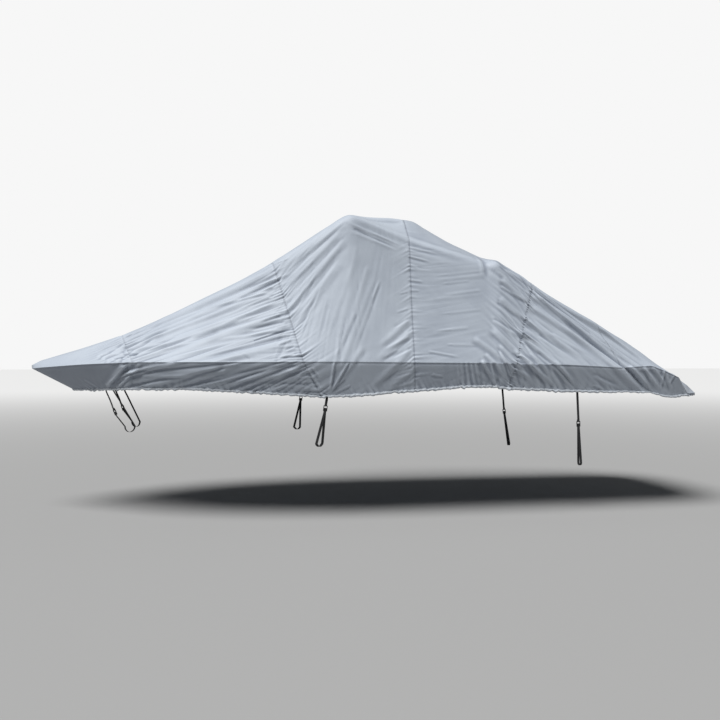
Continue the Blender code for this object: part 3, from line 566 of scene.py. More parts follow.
def finer(fold):
    """A fold of the solid as the fine cloth has it."""
    start_x, start_z, end_x, end_z, width, height, *bow = fold
    height *= FOLD_HEIGHT_SHARE
    for low_x, high_x, low_z, high_z, share in CALM_FOLDS:
        if low_x < start_x < high_x and low_z < start_z < high_z and end_x < start_x:
            height *= share
    return (start_x, start_z, end_x, end_z, width * FOLD_WIDTH_SHARE, height, *bow)


def side_lift(folds, points, port):
    """Lift of the folds on each side, the starboard ones a little moved from the port ones."""
    lift = np.zeros(points.shape[:2])
    for columns, mirrored in ((port, False), (~port, True)):
        flat_x, flat_z = points[:, columns, 0], points[:, columns, 2]
        part = np.zeros(flat_x.shape)
        for number, fold in enumerate(folds):
            shape = drifted(fold, number) if mirrored else fold
            start_x, end_x, reach = shape[0], shape[2], FOLD_REACH * abs(shape[4])
            inside = (flat_x > min(start_x, end_x) - reach) & (flat_x < max(start_x, end_x) + reach)
            rows = np.nonzero(inside.any(axis=1))[0]
            if len(rows):
                near = slice(rows[0], rows[-1] + 1)
                part[near] += fold_height(flat_x[near], flat_z[near], *shape)
        lift[:, columns] = part
    return lift


def ripple(place, spacing, seed):
    """Uneven waves of about that spacing, roughly from -1 to 1."""
    chance = np.random.default_rng(seed)
    waves = np.zeros_like(place)
    for stretch in RIPPLES:
        start = chance.uniform(0.0, 2.0 * math.pi)
        share = chance.uniform(RIPPLE_LEAST, 1.0)
        waves += share * np.sin(place * 2.0 * math.pi / (spacing * stretch) + start)
    return waves / RIPPLE_HEIGHT


def varied(place, seed, mean, swing, spacing, least=-math.inf, most=math.inf):
    """A measure that wanders about its mean."""
    return np.clip(mean + swing * ripple(place, spacing, seed), least, most)


def gather(place, spacing, seed):
    """Gathered cloth, about level on the whole: round ridges between sharp valleys."""
    return np.sqrt(ripple(place, 2.0 * spacing, seed) ** 2 + GATHER_ROUND) - GATHER_MEAN


def seam_lift(seam, away, girth, along_seam, roof, aft):
    """Gathers and stitched groove of one seam, on the cloth before it or after it."""
    off = np.abs(away - LAP / 2)
    beyond = np.maximum(off - LAP / 2, 0.0)
    side_shift = np.where(girth < 0, 0.0, SEAM_SHIFT)
    lift = np.zeros_like(off)
    for number, (name, wave, height, reach_fore, reach_aft, lean_fore, lean_aft) in enumerate(GATHERS):
        if name != seam:
            continue
        reach, lean = (reach_aft, lean_aft) if aft else (reach_fore, lean_fore)
        place = along_seam - lean * beyond + side_shift
        strength = height * varied(along_seam + side_shift, UNEVEN_SEED + number, *GATHER_VARIES)
        reach = reach * varied(place / wave, REACH_SEED + number, *REACH_VARIES)
        falling = np.exp(-((beyond / reach) ** GATHER_FALL))
        lift += gather(place, wave, GATHER_SEED + number) * strength * falling
    lift *= 1.0 - (1.0 - ROOF_GATHER) * roof
    return lift - SEAMS[seam][0] * np.exp(-((off / GROOVE_WIDTH) ** 2))


def fans_lift(flat_x, flat_z, port, under):
    """Long thin creases of the fans; under is 1 on the skirt and 0 above the rail."""
    lift = np.zeros_like(flat_x)
    for number, fan in enumerate(FANS):
        centre_x, centre_z, spacing, height, from_x, to_x, fade_fore, fade_aft, side, skirt = fan
        far_x, far_z = flat_x - centre_x, flat_z - centre_z
        mid_x, mid_z = (from_x + to_x) / 2 - centre_x, FAN_LEVEL - centre_z
        angle = np.arctan2(far_x * mid_z - far_z * mid_x, far_x * mid_x + far_z * mid_z)
        angle = angle + np.where(port, 0.0, FAN_SHIFT)
        bend = FAN_BEND[0] * ripple(angle, FAN_BEND[1] * spacing, FAN_BEND_SEED + number)
        strength = height * varied(np.hypot(far_x, far_z) + bend, FAN_LENGTH_SEED + number, *FAN_VARIES)
        strength *= side + (skirt - side) * under
        window = eased((flat_x - from_x) / fade_fore) * eased((to_x - flat_x) / fade_aft)
        lift -= gather(angle, spacing, FAN_SEED + number) * strength * window
    return lift


def hem_lift(hem_place, hem_high, below_rail, hem_waves):
    """Puckers that the drawcord makes, and the longer folds that rise from it."""
    lean = hem_high * varied(hem_place, LEAN_SEED, *LEAN_VARIES)
    puckers = gather(hem_place + lean, HEM_WAVE, PUCKER_SEED) * hem_waves
    rising = gather(hem_place + SKIRT_LEAN * lean, SKIRT_WAVE, SKIRT_SEED) * eased(below_rail / SKIRT_START)
    rising *= varied(hem_place, STRENGTH_SEED, *SKIRT_VARIES)
    lift = HEM_HEIGHT * puckers * np.exp(-hem_high / HEM_REACH)
    return lift + SKIRT_HEIGHT * rising * np.exp(-hem_high / SKIRT_REACH)


def wobble(flat_x, flat_z, girth):
    """The cloth's own unevenness."""
    lift = np.zeros_like(flat_x)
    for number, (spacing, height, degrees) in enumerate(WOBBLES):
        sine, cosine = math.sin(math.radians(degrees)), math.cos(math.radians(degrees))
        forward = flat_x * cosine + (flat_z + girth * WOBBLE_GIRTH) * sine
        cross = flat_z * cosine - flat_x * sine
        waves = ripple(forward, spacing, WOBBLE_SEED + number)
        lift += height * waves * ripple(cross, spacing * WOBBLE_CROSS, CROSS_SEED + number)
    return lift


def rail_softness(flat_x):
    """1 where folds run over the rail crease, 0 elsewhere."""
    start, end, fade = RAIL_SOFT
    return eased((flat_x - start) / fade) * eased((end - flat_x) / fade)


# ---------------------------------------------------------------- fine grid of a panel
def row_places(first, last):
    """Fine places along the cover of one panel's rows; how many lie on the cloth before its lap."""
    start, end = SECTION_PLACE[first], SECTION_PLACE[last]
    turned = SECTION_PLACE["aft_edge"] if last == "aft_hem" else end
    rows = 2 * round((turned - start) / ROW_STEP / 2) + 1
    lip = np.linspace(turned, end, LIP_ROWS + 1)[1:]
    beyond = lip if last == "aft_hem" else end + LAP * np.array([0.5, 1.0])
    return np.concatenate([np.linspace(start, turned, rows), beyond]), rows


def column_places():
    half = [0.0]
    for (_, start, _, cells), (_, end, _, _) in zip(LINES, LINES[1:]):
        half += [start + (end - start) * (step + 1) / cells for step in range(cells)]
    return np.array([-place for place in reversed(half[1:])] + half)


def run_lengths(points, axis):
    """Distance along the grid from its first row or column."""
    steps = np.linalg.norm(np.diff(points, axis=axis), axis=2)
    shape = list(points.shape[:2])
    shape[axis] = 1
    return np.concatenate([np.zeros(shape), np.cumsum(steps, axis=axis)], axis=axis)


def averaged(values, cells):
    """Values of a grid, each averaged over that many cells along and across."""
    for axis in (0, 1):
        pad = [(0, 0), (0, 0)]
        pad[axis] = (cells // 2 + 1, cells // 2)
        sums = np.cumsum(np.pad(values, pad, mode="edge"), axis=axis)
        values = (np.take(sums, range(cells, sums.shape[axis]), axis=axis)
                  - np.take(sums, range(sums.shape[axis] - cells), axis=axis)) / cells
    return values


def drawn_up_skirt(points):
    """Draws the skirt up to make room for its roll; gives the roll's radius and the way down at each hem."""
    shares = np.linspace(0.0, 1.0, SKIRT_CELLS + 1)
    down = {}
    for hem, step in ((0, -1), (points.shape[1] - 1, 1)):
        rail = hem - step * SKIRT_CELLS
        drop = points[:, hem] - points[:, rail]
        length = np.linalg.norm(drop, axis=1)
        radius = np.minimum(ROLL_RADIUS, ROLL_ROOM * length)
        kept = shares[None, :] * (1.0 - 2.0 * radius / length)[:, None]
        points[:, np.arange(rail, hem + step, step)] = points[:, [rail]] + drop[:, None, :] * kept[:, :, None]
        down[hem] = drop / length[:, None]
    return radius, down


def drawn_up_lip(points, across, turned):
    """The same for the turned-down aft edge, whose roll thins towards the corners."""
    drop = points[-1] - points[turned]
    length = np.maximum(np.linalg.norm(drop, axis=1), LEAST_LENGTH)
    thinned = ROLL_RADIUS * (1.0 - eased((np.abs(across) - LIP_FADE[0]) / LIP_FADE[1])) + LIP_LEAST
    size = np.minimum(thinned, ROLL_ROOM * length)
    for number, share in enumerate(np.linspace(0.0, 1.0, len(points) - turned)):
        points[turned + number] = points[turned] + drop * (share * (1.0 - 2.0 * size / length))[:, None]
    return size, drop / length[:, None]


def rolled_edge(edge, down, outward, size, phase, cells, seed, sudden):
    """Rings of points round the cord in an edge, puckered by it at once or little by little."""
    start = math.radians(ROLL_START)
    centre = edge + (down * math.cos(start) - outward * math.sin(start)) * size[:, None]
    rings = []
    for angle in np.radians(np.linspace(ROLL_START, ROLL_END, cells + 1)[1:]):
        swell = ROLL_SIZE - 1.0 + ROLL_SWELL * gather(phase + ROLL_TWIST * angle, HEM_WAVE, seed)
        grown = size * (1.0 + swell * (1.0 if sudden else min(1.0, angle - start + ROLL_AT_ONCE)))
        rings.append(centre + (outward * math.sin(angle) - down * math.cos(angle)) * grown[:, None])
    return rings


def cloth_grid(first, last):
    """Fine points of one panel, its rows before the lap, distances from its seams, and its relief as shares
    of painted shade and painted highlight.
    """
    along, on_cloth = row_places(first, last)
    across = column_places()
    port = across < 0
    points = smooth_surface(along, across)
    normals = surface_normals(along, across)
    radius, hangs = drawn_up_skirt(points)
    if last == "aft_hem":
        lip_size, lip_down = drawn_up_lip(points, across, on_cloth - 1)

    # where every point lies: along the rows, round the girth, above the hem and below the rail
    flat_x, flat_z = points[:, :, 0], points[:, :, 2]
    run = run_lengths(points, 0)
    girth = run_lengths(points, 1)
    girth = girth - girth[:, [len(across) // 2]]
    hem_high = np.minimum(girth - girth[:, [0]], girth[:, [-1]] - girth)
    below_rail = np.where(port, girth[:, [SKIRT_CELLS]] - girth, girth - girth[:, [-1 - SKIRT_CELLS]])
    under = eased(below_rail / RAIL_TURN + 0.5)
    roof = 1.0 - eased((np.abs(across) - ROOF[0]) / ROOF[1])[None, :]
    side_share = eased((np.abs(across) - GIRTH["inner"]) / (GIRTH["edge"] - GIRTH["inner"]))[None, :]
    calm = (eased((along - ALONG[0]) / STEM_CALM) * eased((ALONG[-1] - along) / AFT_CALM))[:, None]
    hem_run = np.interp(along, HEM_SAMPLES, HEM_RUN)
    hem_place = hem_run[:, None] + np.where(port, 0.0, HEM_SHIFT)[None, :]
    hem_waves = 1.0 - AFT_HEM_CALM[2] * eased((flat_x - AFT_HEM_CALM[0]) / AFT_HEM_CALM[1])

    lift = side_lift([finer(fold) for fold in in_metres(SIDE_FOLDS)], points, port)
    lift += side_lift(in_metres(CREASES), points, port) + fans_lift(flat_x, flat_z, port[None, :], under)
    lift *= side_share
    for fold in in_metres(ROOF_FOLDS):
        lift += fold_height(flat_x, points[:, :, 1], *fold) * (1.0 - side_share)
    lift += hem_lift(hem_place, hem_high, below_rail, hem_waves) + wobble(flat_x, flat_z, girth)
    undercut = np.exp(-(((below_rail - UNDERCUT_PLACE[0]) / UNDERCUT_PLACE[1]) ** 2))
    lift = (lift - UNDERCUT * undercut * (1.0 - rail_softness(flat_x))) * calm

    # seams: the cloth behind a seam lies over the cloth before it
    away = {}
    if first in SEAMS:
        away[first] = run
        lift += seam_lift(first, run, girth, np.abs(girth[[0]]), roof, True) * calm
        lift += LAP_RISE * (1.0 - eased((run - LAP) / LAP_FADE))
    if last in SEAMS:
        past = run - run[[on_cloth - 1]]
        away[last] = past
        lift += seam_lift(last, past, girth, np.abs(girth[[on_cloth - 1]]), roof, False)
        lift -= LAP_RISE * eased((past + LAP_DIP[0]) / LAP_DIP[1])

    # painted shade on the skirt under the flare of the bow
    flare = 1.0 - eased((flat_x - BOW_FLARE[0]) / BOW_FLARE[1])
    # painted shade of hollows and painted highlight of crests, as shares from -1 to 1
    relief = (lift - averaged(lift, HOLLOW_BLUR)) / HOLLOW_DEPTH - BOW_SKIRT_DARK * under * flare
    # painted light and shade of whole panels
    relief = np.clip(relief + PANEL_SHADES.get(first, 0.0), -1.0, 1.0)
    points = points + normals * lift[:, :, None]
    for rise, wave, seed in zip(HEM_RISE, HEM_RISE_WAVES, EDGE_SEEDS):
        rising = rise * ripple(hem_place, wave, seed) * hem_waves * np.exp(-hem_high / HEM_REACH)
        points[:, :, 2] += rising * calm

    rolls = []
    for hem, shift in ((0, 0.0), (len(across) - 1, HEM_SHIFT)):
        rings = rolled_edge(points[:, hem], hangs[hem], normals[:, hem], radius, hem_run + shift,
                            ROLL_CELLS, ROLL_SEED, False)
        rolls.append(np.stack(rings, axis=1))
    points = np.concatenate([rolls[0][:, ::-1], points, rolls[1]], axis=1)
    if last == "aft_hem":
        nearest = np.clip(np.arange(points.shape[1]) - ROLL_CELLS, 0, len(across) - 1)
        down, size = lip_down[nearest], lip_size[nearest]
        size[:ROLL_CELLS] = size[-ROLL_CELLS:] = CORNER_RADIUS
        edge = points[-1]
        outward = unit(np.cross(unit(np.gradient(edge, axis=0)), down))
        outward *= np.sign(outward[:, [0]])
        rings = rolled_edge(edge, down, outward, size, path_run(edge), AFT_ROLL_ROWS, LIP_SEED, True)
        points = np.concatenate([points, np.stack(rings)], axis=0)
    return points, on_cloth, away, relief


def cut_cells(rows, columns, fine):
    """Faces of a grid in cells of 2 by 2. A cell is cut in four where fine, and takes in the midpoints of
    its finer neighbours elsewhere, so that no gap opens between them."""
    index = np.arange(rows * columns).reshape(rows, columns)
    small = np.kron(fine, np.ones((2, 2), dtype=bool))
    corners = np.stack([index[:-1, :-1], index[1:, :-1], index[1:, 1:], index[:-1, 1:]], axis=2)
    faces = corners[small].tolist()
    beside = np.pad(fine, 1)
    for row, column in zip(*np.nonzero(~fine)):
        top, left = 2 * row, 2 * column
        ring = (
            (0, 0, True), (1, 0, beside[row + 1, column]), (2, 0, True), (2, 1, beside[row + 2, column + 1]),
            (2, 2, True), (1, 2, beside[row + 1, column + 2]), (0, 2, True), (0, 1, beside[row, column + 1]),
        )
        faces.append([int(index[top + down, left + over]) for down, over, taken in ring if taken])
    return faces


# ---------------------------------------------------------------- meshes
def new_object(name, points, faces, material):
    mesh = bpy.data.meshes.new(name)
    mesh.from_pydata(points, [], faces)
    mesh.materials.append(material)
    mesh.shade_smooth()
    piece = bpy.data.objects.new(name, mesh)
    bpy.context.scene.collection.objects.link(piece)
    return piece


def keep_lengths(mesh, name, lengths):
    """Stores two lengths of each point, in metres, as a UV map."""
    corner = np.zeros(len(mesh.loops), dtype=np.int32)
    mesh.loops.foreach_get("vertex_index", corner)
    layer = mesh.uv_layers.new(name=name)
    layer.data.foreach_set("uv", lengths[corner].astype(np.float32).reshape(-1))


def sewn_panel(name, first, last, material):
    """One cloth panel from hem to hem, with its laps, gathers and rolled hem."""
    points, on_cloth, away, relief = cloth_grid(first, last)
    rows, columns = points.shape[:2]
    middle = columns // 2
    rails = (ROLL_CELLS + SKIRT_CELLS, columns - 1 - ROLL_CELLS - SKIRT_CELLS)

    def with_rolls(values, mode):
        return np.pad(values, ((0, rows - len(values)), (ROLL_CELLS, ROLL_CELLS)), mode=mode)

    finely = np.zeros((rows, columns), dtype=bool)
    seam_off = np.full((rows, columns), 1.0)
    # seam_line: how far painted shade darkens the nearest seam's line
    seam_line = np.zeros((rows, columns))
    for seam, distance in away.items():
        finely[: len(distance), ROLL_CELLS:-ROLL_CELLS] |= np.abs(distance) < FINE_REACH
        off = np.abs(with_rolls(distance, "edge") - LAP / 2)
        seam_line = np.where(off < seam_off, SEAMS[seam][1], seam_line)
        seam_off = np.minimum(seam_off, off)
    stitched = with_rolls(away[first], "edge") if first in away else np.full((rows, columns), 1.0)
    # rolled: the hem rolls, which get a painted highlight
    rolled = np.ones((rows, columns))
    rolled[: rows - AFT_ROLL_ROWS if last == "aft_hem" else rows, ROLL_CELLS:-ROLL_CELLS] = 0.0
    finely[:, : rails[0] + 1] = True
    finely[:, rails[1] :] = True
    if last == "aft_hem":
        finely[on_cloth - 1 :] = True

    faces = cut_cells(rows, columns, finely[1::2, 1::2][: (rows - 1) // 2, : (columns - 1) // 2])
    if first == "stem":
        for step in range(middle):
            port, starboard = middle - step, middle + step
            closing = [port, starboard] if step else [port]
            faces.append([port - 1, *closing, starboard + 1])
    used, corners = np.unique(np.concatenate([np.array(face) for face in faces]), return_inverse=True)
    corners = iter(corners.tolist())
    faces = [[next(corners) for _ in face] for face in faces]
    piece = new_object(name, to_frame(points).reshape(-1, 3)[used], faces, material)
    mesh = piece.data

    girth = run_lengths(points, 1)
    girth = girth - girth[:, [middle]]
    run = run_lengths(points, 0)
    keep_lengths(mesh, "cloth_lengths", np.stack([run.reshape(-1)[used], girth.reshape(-1)[used]], axis=1))
    for attribute, values in (
        ("stitch_run", stitched), ("seam_off", seam_off), ("seam_line", seam_line), ("rolled", rolled),
        ("painted_light_shade", with_rolls(relief, "constant")),
    ):
        data = mesh.attributes.new(attribute, "FLOAT", "POINT").data
        data.foreach_set("value", values.reshape(-1)[used].astype(np.float32))

    edges = np.zeros(2 * len(mesh.edges), dtype=np.int32)
    mesh.edges.foreach_get("vertices", edges)
    edges = used[edges.reshape(-1, 2)]
    on_rail = np.isin(edges % columns, rails).all(axis=1) & (edges[:, 0] % columns == edges[:, 1] % columns)
    on_rail &= rail_softness(points.reshape(-1, 3)[edges[:, 0], 0]) < 0.5
    mesh.attributes.new("sharp_edge", "BOOLEAN", "EDGE").data.foreach_set("value", on_rail)
    return piece


def webbing_strip(name, path, width_run, material):
    """Woven webbing with rounded edges that follows the path, its width along width_run."""
    runs = unit(np.gradient(path, axis=0))
    across = unit(width_run - runs * (runs @ width_run)[:, None])
    out = np.cross(runs, across)
    section = WEB_SECTION + [(u, -v) for u, v in reversed(WEB_SECTION)]
    rings = [path + across * WEB_WIDTH / 2 * u + out * WEB_THICKNESS / 2 * v for u, v in section]
    count = len(section)
    last = (len(path) - 1) * count
    faces = [list(range(count))]
    for here in range(0, last, count):
        for corner in range(count):
            following = (corner + 1) % count
            faces.append([here + following, here + corner, here + count + corner, here + count + following])
    faces.append([last + count - 1 - number for number in range(count)])
    piece = new_object(name, to_frame(np.stack(rings, axis=1)).reshape(-1, 3), faces, material)
    wide = np.array([u * WEB_WIDTH / 2 for u, _ in section])
    lengths = np.stack([np.repeat(path_run(path), count), np.tile(wide, len(path))], axis=1)
    keep_lengths(piece.data, "web_lengths", lengths)
    return piece


def buckle(name, centre, lengthwise, sideways, outward, material):
    shape = bmesh.new()
    from_length, to_length, *rest = RIDGE
    steps = [RIDGE_STEP * number for number in range(RIDGES)]
    bars = [(bar, BUCKLE_ROUND) for bar in BUCKLE_BARS]
    bars += [((from_length + step, to_length + step, *rest), RIDGE_ROUND) for step in steps]
    for (low_u, high_u, low_v, high_v, low_w, high_w), rounding in bars:
        box = bmesh.ops.create_cube(shape, size=1.0)["verts"]
        for vertex in box:
            u = low_u if vertex.co.x < 0 else high_u
            v = low_v if vertex.co.y < 0 else high_v
            w = low_w if vertex.co.z < 0 else high_w
            vertex.co = Vector(centre + lengthwise * u + sideways * v + outward * w)
        edges = {edge for vertex in box for edge in vertex.link_edges}
        bmesh.ops.bevel(shape, geom=list(edges), offset=rounding, segments=2, affect="EDGES", profile=0.5)
    bmesh.ops.recalc_face_normals(shape, faces=shape.faces)
    bmesh.ops.translate(shape, vec=(-TOWER_TOP_X, 0.0, -TOWER_TOP_Z), verts=shape.verts)
    piece = new_object(name, [], [], material)
    shape.to_mesh(piece.data)
    shape.free()
    piece.data.shade_smooth()
    piece.data.set_sharp_from_angle(angle=math.radians(40))
    return piece


# ---------------------------------------------------------------- ties
def hem_seat(x, side):
    """The middle of the cloth's lower edge at x, the hem's direction there and the cloth's outward one."""
    along = np.interp(x, HEM_LINE[:, 0], HEM_SAMPLES)
    places = np.array([along - HEM_STEP, along, along + HEM_STEP])
    points = lines_at(places)[:, -1] * np.array([1.0, side, 1.0])
    normal = surface_normals(places[[1]], np.array([float(side)]))[0, 0]
    return points[1] - normal * CLOTH_THICKNESS / 2, unit(points[2] - points[0]), normal


def seated(hem, normal, places):
    """Points beside the hem, from distances inside its middle line and heights over it."""
    return [hem - normal * inside + np.array([0.0, 0.0, height]) for inside, height in places]


def smoothed_path(points, spacing):
    """Evenly spaced points of a smooth curve through the given ones, and its length."""
    points = np.array(points)
    ends = 2 * points[0] - points[1], 2 * points[-1] - points[-2]
    padded = np.concatenate([[ends[0]], points, [ends[1]]])
    dense = []
    for p0, p1, p2, p3 in zip(padded, padded[1:], padded[2:], padded[3:]):
        for share in np.linspace(0.0, 1.0, CURVE_STEPS, endpoint=False):
            dense.append(0.5 * (2 * p1 + (p2 - p0) * share + (2 * p0 - 5 * p1 + 4 * p2 - p3) * share ** 2
                                + (3 * p1 - p0 - 3 * p2 + p3) * share ** 3))
    dense = np.array(dense + [points[-1]])
    run = path_run(dense)
    places = np.linspace(0.0, run[-1], max(3, int(round(run[-1] / spacing)) + 1))
    return np.stack([np.interp(places, run, dense[:, axis]) for axis in range(3)], axis=1), run[-1]


def tie_down(row, side, webbing, plastic):
    """Tab, buckle and strap of one tie."""
    tie = dict(zip(TIE_COLUMNS, row))
    label = f"{tie['name']}_{'port' if side < 0 else 'starboard'}"
    hem, hem_run, normal = hem_seat(tie["hem_x"], side)
    middle = np.array([tie["buckle_x"], side * tie["buckle_y"], tie["buckle_z"]])
    foot = np.array([tie["foot_x"], side * tie["foot_y"], tie["foot_z"]])
    down = unit(middle - hem)
    inboard = unit(np.array([side * hem_run[1], -side * hem_run[0], 0.0]))
    outward = unit(np.cross(down, unit(hem_run - down * np.dot(hem_run, down))))
    outward *= -np.sign(outward @ inboard)
    sideways = np.cross(outward, down)

    bar = middle - down * UPPER_BAR
    tab_route = [*seated(hem, normal, TAB_SEAT), hem + (middle - hem) * 0.5]
    tab_route += [bar + down * along + outward * out for along, out in TAB_WRAP]
    if tie["name"] == "mid":
        tab_route.pop(3)
    tab_path, tab_length = smoothed_path(tab_route, TAB_STEP)
    tab = webbing_strip(f"tab_{label}_webbing", tab_path, hem_run, webbing)
    clasp = buckle(f"buckle_{label}_body", middle, down, sideways, outward, plastic)

    start, outlet = (middle + down * along + outward * out for along, out in (STRAP_START, STRAP_OUTLET))
    tail, finish = (middle + down * along - outward * out for along, out in (STRAP_START, STRAP_OUTLET))
    if tie["back_x"] is not None:
        seat, _, normal = hem_seat(tie["back_x"], side)
        finish, tail = seated(seat, normal, STRAP_SEAT)
    route = [start, outlet] + [outlet + (foot - outlet) * share for share in STRAP_DOWN]
    for angle in np.linspace(0.0, math.pi, TURN_STEPS + 1):
        drop = np.array([tie["drift_x"] * angle / math.pi, 0.0, -tie["turn_radius"] * math.sin(angle)])
        route.append(foot + inboard * tie["turn_radius"] * (1 - math.cos(angle)) + drop)
    route += [route[-1] + (finish - route[-1]) * share for share in STRAP_UP]
    strap_path, strap_length = smoothed_path(route + [tail], STRAP_STEP)
    strap = webbing_strip(f"strap_{label}_webbing", strap_path, hem_run, webbing)

    for piece, node, finish_slot in (
        (tab, f"tab_{label}", "webbing"),
        (clasp, f"buckle_{label}", "buckle_plastic"),
        (strap, f"strap_{label}", "webbing"),
    ):
        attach(piece, "root")
        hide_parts(node)


# ---------------------------------------------------------------- materials
def add_node(tree, kind, output, values, **settings):
    """Output of a new node. values: a number, a colour or another node's output for its sockets."""
    node = tree.nodes.new("ShaderNode" + kind)
    for name, value in settings.items():
        setattr(node, name, value)
    for socket, value in values.items():
        if isinstance(value, bpy.types.NodeSocket):
            tree.links.new(value, node.inputs[socket])
        else:
            node.inputs[socket].default_value = (*value, 1.0) if isinstance(value, tuple) else value
    return node.outputs[output]


def noise(tree, scale, detail, roughness=0.5):
    place = add_node(tree, "TexCoord", "Object", {})
    values = {"Vector": place, "Scale": scale, "Detail": detail, "Roughness": roughness}
    return add_node(tree, "TexNoise", "Fac", values)


def calculate(tree, operation, *values, clamp=False):
    return add_node(tree, "Math", 0, dict(enumerate(values)), operation=operation, use_clamp=clamp)


def attribute(tree, name):
    return add_node(tree, "Attribute", "Fac", {}, attribute_name=name)


def mixed(tree, share, first, second):
    """Mix of two colours, which are sockets 6 and 7 of the node."""
    return add_node(tree, "Mix", 2, {0: share, 6: first, 7: second}, data_type="RGBA")


def bump(tree, height, distance, strength, **under):
    values = {"Height": height, "Distance": distance, "Strength": strength, **under}
    return add_node(tree, "Bump", "Normal", values)


def ramp(tree, value, low, high, from_value=0.0, to_value=1.0):
    values = {"Value": value, "From Min": low, "From Max": high, "To Min": from_value, "To Max": to_value}
    return add_node(tree, "MapRange", "Result", values, interpolation_type="SMOOTHSTEP")


def woven(tree, lengths, rates):
    """Relief of a weave: the product of two sine waves."""
    waves = [calculate(tree, "SINE", calculate(tree, "MULTIPLY", *pair)) for pair in zip(lengths, rates)]
    return calculate(tree, "MULTIPLY", *waves)


def node_material(name, roughness):
    material = bpy.data.materials.new(name)
    material.use_nodes = True
    shader = material.node_tree.nodes["Principled BSDF"]
    shader.inputs["Roughness"].default_value = roughness
    shader.inputs["Metallic"].default_value = 0.0
    return material, material.node_tree, shader


def kept_lengths(tree, name):
    """The two lengths that keep_lengths() stored."""
    split = tree.nodes.new("ShaderNodeSeparateXYZ")
    tree.links.new(add_node(tree, "UVMap", "UV", {}, uv_map=name), split.inputs["Vector"])
    return split.outputs["X"], split.outputs["Y"]


def finish_material(tree, shader, colour, normal):
    tree.links.new(colour, shader.inputs["Base Color"])
    tree.links.new(normal, shader.inputs["Normal"])


def cloth_material():
    """Light blue-grey woven polyester: fine weave, soft crumple, stitched laps, with painted shade along the
    seams, in hollows and under the bow's flare, and painted highlight on crests and the hem roll.
    """
    material, tree, shader = node_material("cover_polyester", 0.62)
    shader.inputs["Sheen Weight"].default_value = 0.12
    shader.inputs["Sheen Roughness"].default_value = 0.5
    along, girth = kept_lengths(tree, "cloth_lengths")

    colour = mixed(tree, ramp(tree, noise(tree, *MOTTLE), *MOTTLE_RANGE), CLOTH_COLOUR, CLOTH_DEEP)
    stitches = calculate(tree, "FRACT", calculate(tree, "MULTIPLY", girth, STITCHES))
    dash = calculate(tree, "LESS_THAN", stitches, STITCH_FILL)
    lines = []
    for row in STITCH_ROWS:
        off = calculate(tree, "ABSOLUTE", calculate(tree, "SUBTRACT", attribute(tree, "stitch_run"), row))
        lines.append(calculate(tree, "MULTIPLY", ramp(tree, off, *THREAD_EDGE, 1.0, 0.0), dash))
    threads = calculate(tree, "MAXIMUM", *lines)
    colour = mixed(tree, threads, colour, STITCH_COLOUR)
    # painted shade along each seam's line
    near_seam = ramp(tree, attribute(tree, "seam_off"), *SEAM_SHADE_EDGE, 1.0, 0.0)
    seam_shade = calculate(tree, "MULTIPLY", near_seam, attribute(tree, "seam_line"))
    colour = mixed(tree, seam_shade, colour, SEAM_SHADE_COLOUR)
    # painted shade in hollows and painted highlight on crests
    for sign, shade, tone in ((-1.0, HOLLOW_SHADE, HOLLOW_SHADE_COLOUR), (1.0, CREST_HIGHLIGHT_SHARE, CREST_HIGHLIGHT_COLOUR)):
        share = calculate(tree, "MULTIPLY", attribute(tree, "painted_light_shade"), sign, clamp=True)
        colour = mixed(tree, calculate(tree, "MULTIPLY", share, shade), colour, tone)
    # painted highlight on the hem roll
    hem = calculate(tree, "MULTIPLY", attribute(tree, "rolled"), HEM_HIGHLIGHT_SHARE)
    colour = mixed(tree, hem, colour, HEM_HIGHLIGHT_COLOUR)

    under = {}
    for scale, detail, roughness, *relief in CRUMPLES:
        under = {"Normal": bump(tree, noise(tree, scale, detail, roughness), *relief, **under)}
    normal = bump(tree, woven(tree, (along, girth), CLOTH_WEAVE), *CLOTH_BUMP, **under)
    normal = bump(tree, threads, *THREAD_BUMP, Normal=normal)
    finish_material(tree, shader, colour, normal)
    return material


def webbing_material():
    material, tree, shader = node_material("black_webbing", 0.72)
    weave = woven(tree, kept_lengths(tree, "web_lengths"), WEB_WEAVE)
    colour = mixed(tree, ramp(tree, weave, *WEB_RANGE), *WEB_COLOURS)
    finish_material(tree, shader, colour, bump(tree, weave, *WEB_BUMP))
    return material


def plastic_material():
    material, tree, shader = node_material("black_buckle_plastic", 0.38)
    tone, grain = (noise(tree, scale, PLASTIC_DETAIL) for scale in PLASTIC_GRAINS)
    finish_material(tree, shader, mixed(tree, tone, *PLASTIC_COLOURS), bump(tree, grain, *PLASTIC_BUMP))
    return material


# ---------------------------------------------------------------- the cover
cover_cloth = cloth_material()
webbing = webbing_material()
plastic = plastic_material()
for panel, first, last, flat_width, flat_length in PANELS:
    cloth = sewn_panel(f"{panel}_cloth", first, last, cover_cloth)
    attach(cloth, "root")
    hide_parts(panel)
for row in TIES:
    for side in (-1, 1):
        tie_down(row, side, webbing, plastic)

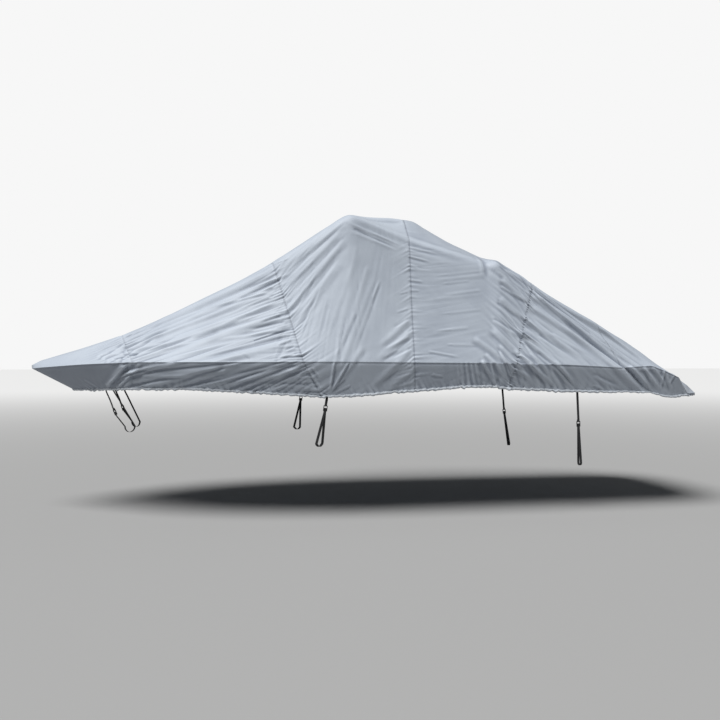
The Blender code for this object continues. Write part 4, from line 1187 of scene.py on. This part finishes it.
# ---------------------------------------------------------------- floor, light and camera
FLOOR_HEIGHT = -3.027
FLOOR_HALF = 160.0
FLOOR_GREYS = (0.28,) * 3, (0.58,) * 3  # under the cover, and far behind it where it meets the background
FLOOR_FADE = (4.0, 40.0)
SKY_LIGHT = 0.12
SKY_COLOUR = (0.90, 0.95, 1.0)
SKY_SEEN = 0.93              # brightness of the plain background
SUN_FROM = (-0.33, -0.28, 0.90)
SUN_COLOUR = (1.0, 0.995, 0.985)
SUN_STRENGTH = 4.9
SUN_ANGLE = 38.0
LENS = 42.5
SHIFT_Y = 0.00194
VIEW_END = 400.0
CAMERA_PLACE = (-1.774, -9.299, -1.500)
CAMERA_TURN = -10.0

floor_material, tree, shader = node_material("pale_floor", 0.9)
place = add_node(tree, "TexCoord", "Object", {})
distance = add_node(tree, "VectorMath", "Value", {0: place}, operation="LENGTH")
tree.links.new(mixed(tree, ramp(tree, distance, *FLOOR_FADE), *FLOOR_GREYS), shader.inputs["Base Color"])
corners = [(x * FLOOR_HALF, y * FLOOR_HALF, FLOOR_HEIGHT) for x, y in ((-1, -1), (1, -1), (1, 1), (-1, 1))]
floor = new_object("pale_floor", corners, [(0, 1, 2, 3)], floor_material)

sun_data = bpy.data.lights.new("overhead", "SUN")
sun_data.energy = SUN_STRENGTH
sun_data.angle = math.radians(SUN_ANGLE)
sun_data.color = SUN_COLOUR
sun = bpy.data.objects.new("overhead", sun_data)
sun.rotation_euler = (-Vector(SUN_FROM)).to_track_quat("-Z", "Y").to_euler()
bpy.context.scene.collection.objects.link(sun)

world = bpy.data.worlds.new("studio")
bpy.context.scene.world = world
world.use_nodes = True
tree = world.node_tree
light = tree.nodes["Background"]
light.inputs["Color"].default_value = (*SKY_COLOUR, 1.0)
light.inputs["Strength"].default_value = SKY_LIGHT
seen = add_node(tree, "Background", "Background", {"Color": (1.0, 1.0, 1.0), "Strength": SKY_SEEN})
to_camera = add_node(tree, "LightPath", "Is Camera Ray", {})
sky = add_node(tree, "MixShader", "Shader", {"Fac": to_camera, 1: light.outputs["Background"], 2: seen})
tree.links.new(sky, tree.nodes["World Output"].inputs["Surface"])

camera_data = bpy.data.cameras.new("camera")
camera_data.sensor_width = 36.0
camera_data.lens = LENS
camera_data.shift_y = SHIFT_Y
camera_data.clip_end = VIEW_END
camera = bpy.data.objects.new("camera", camera_data)
camera.location = CAMERA_PLACE
camera.rotation_euler = (math.radians(90.0), 0.0, math.radians(CAMERA_TURN))
bpy.context.scene.collection.objects.link(camera)
bpy.context.scene.camera = camera
bpy.context.scene.view_settings.view_transform = "Standard"
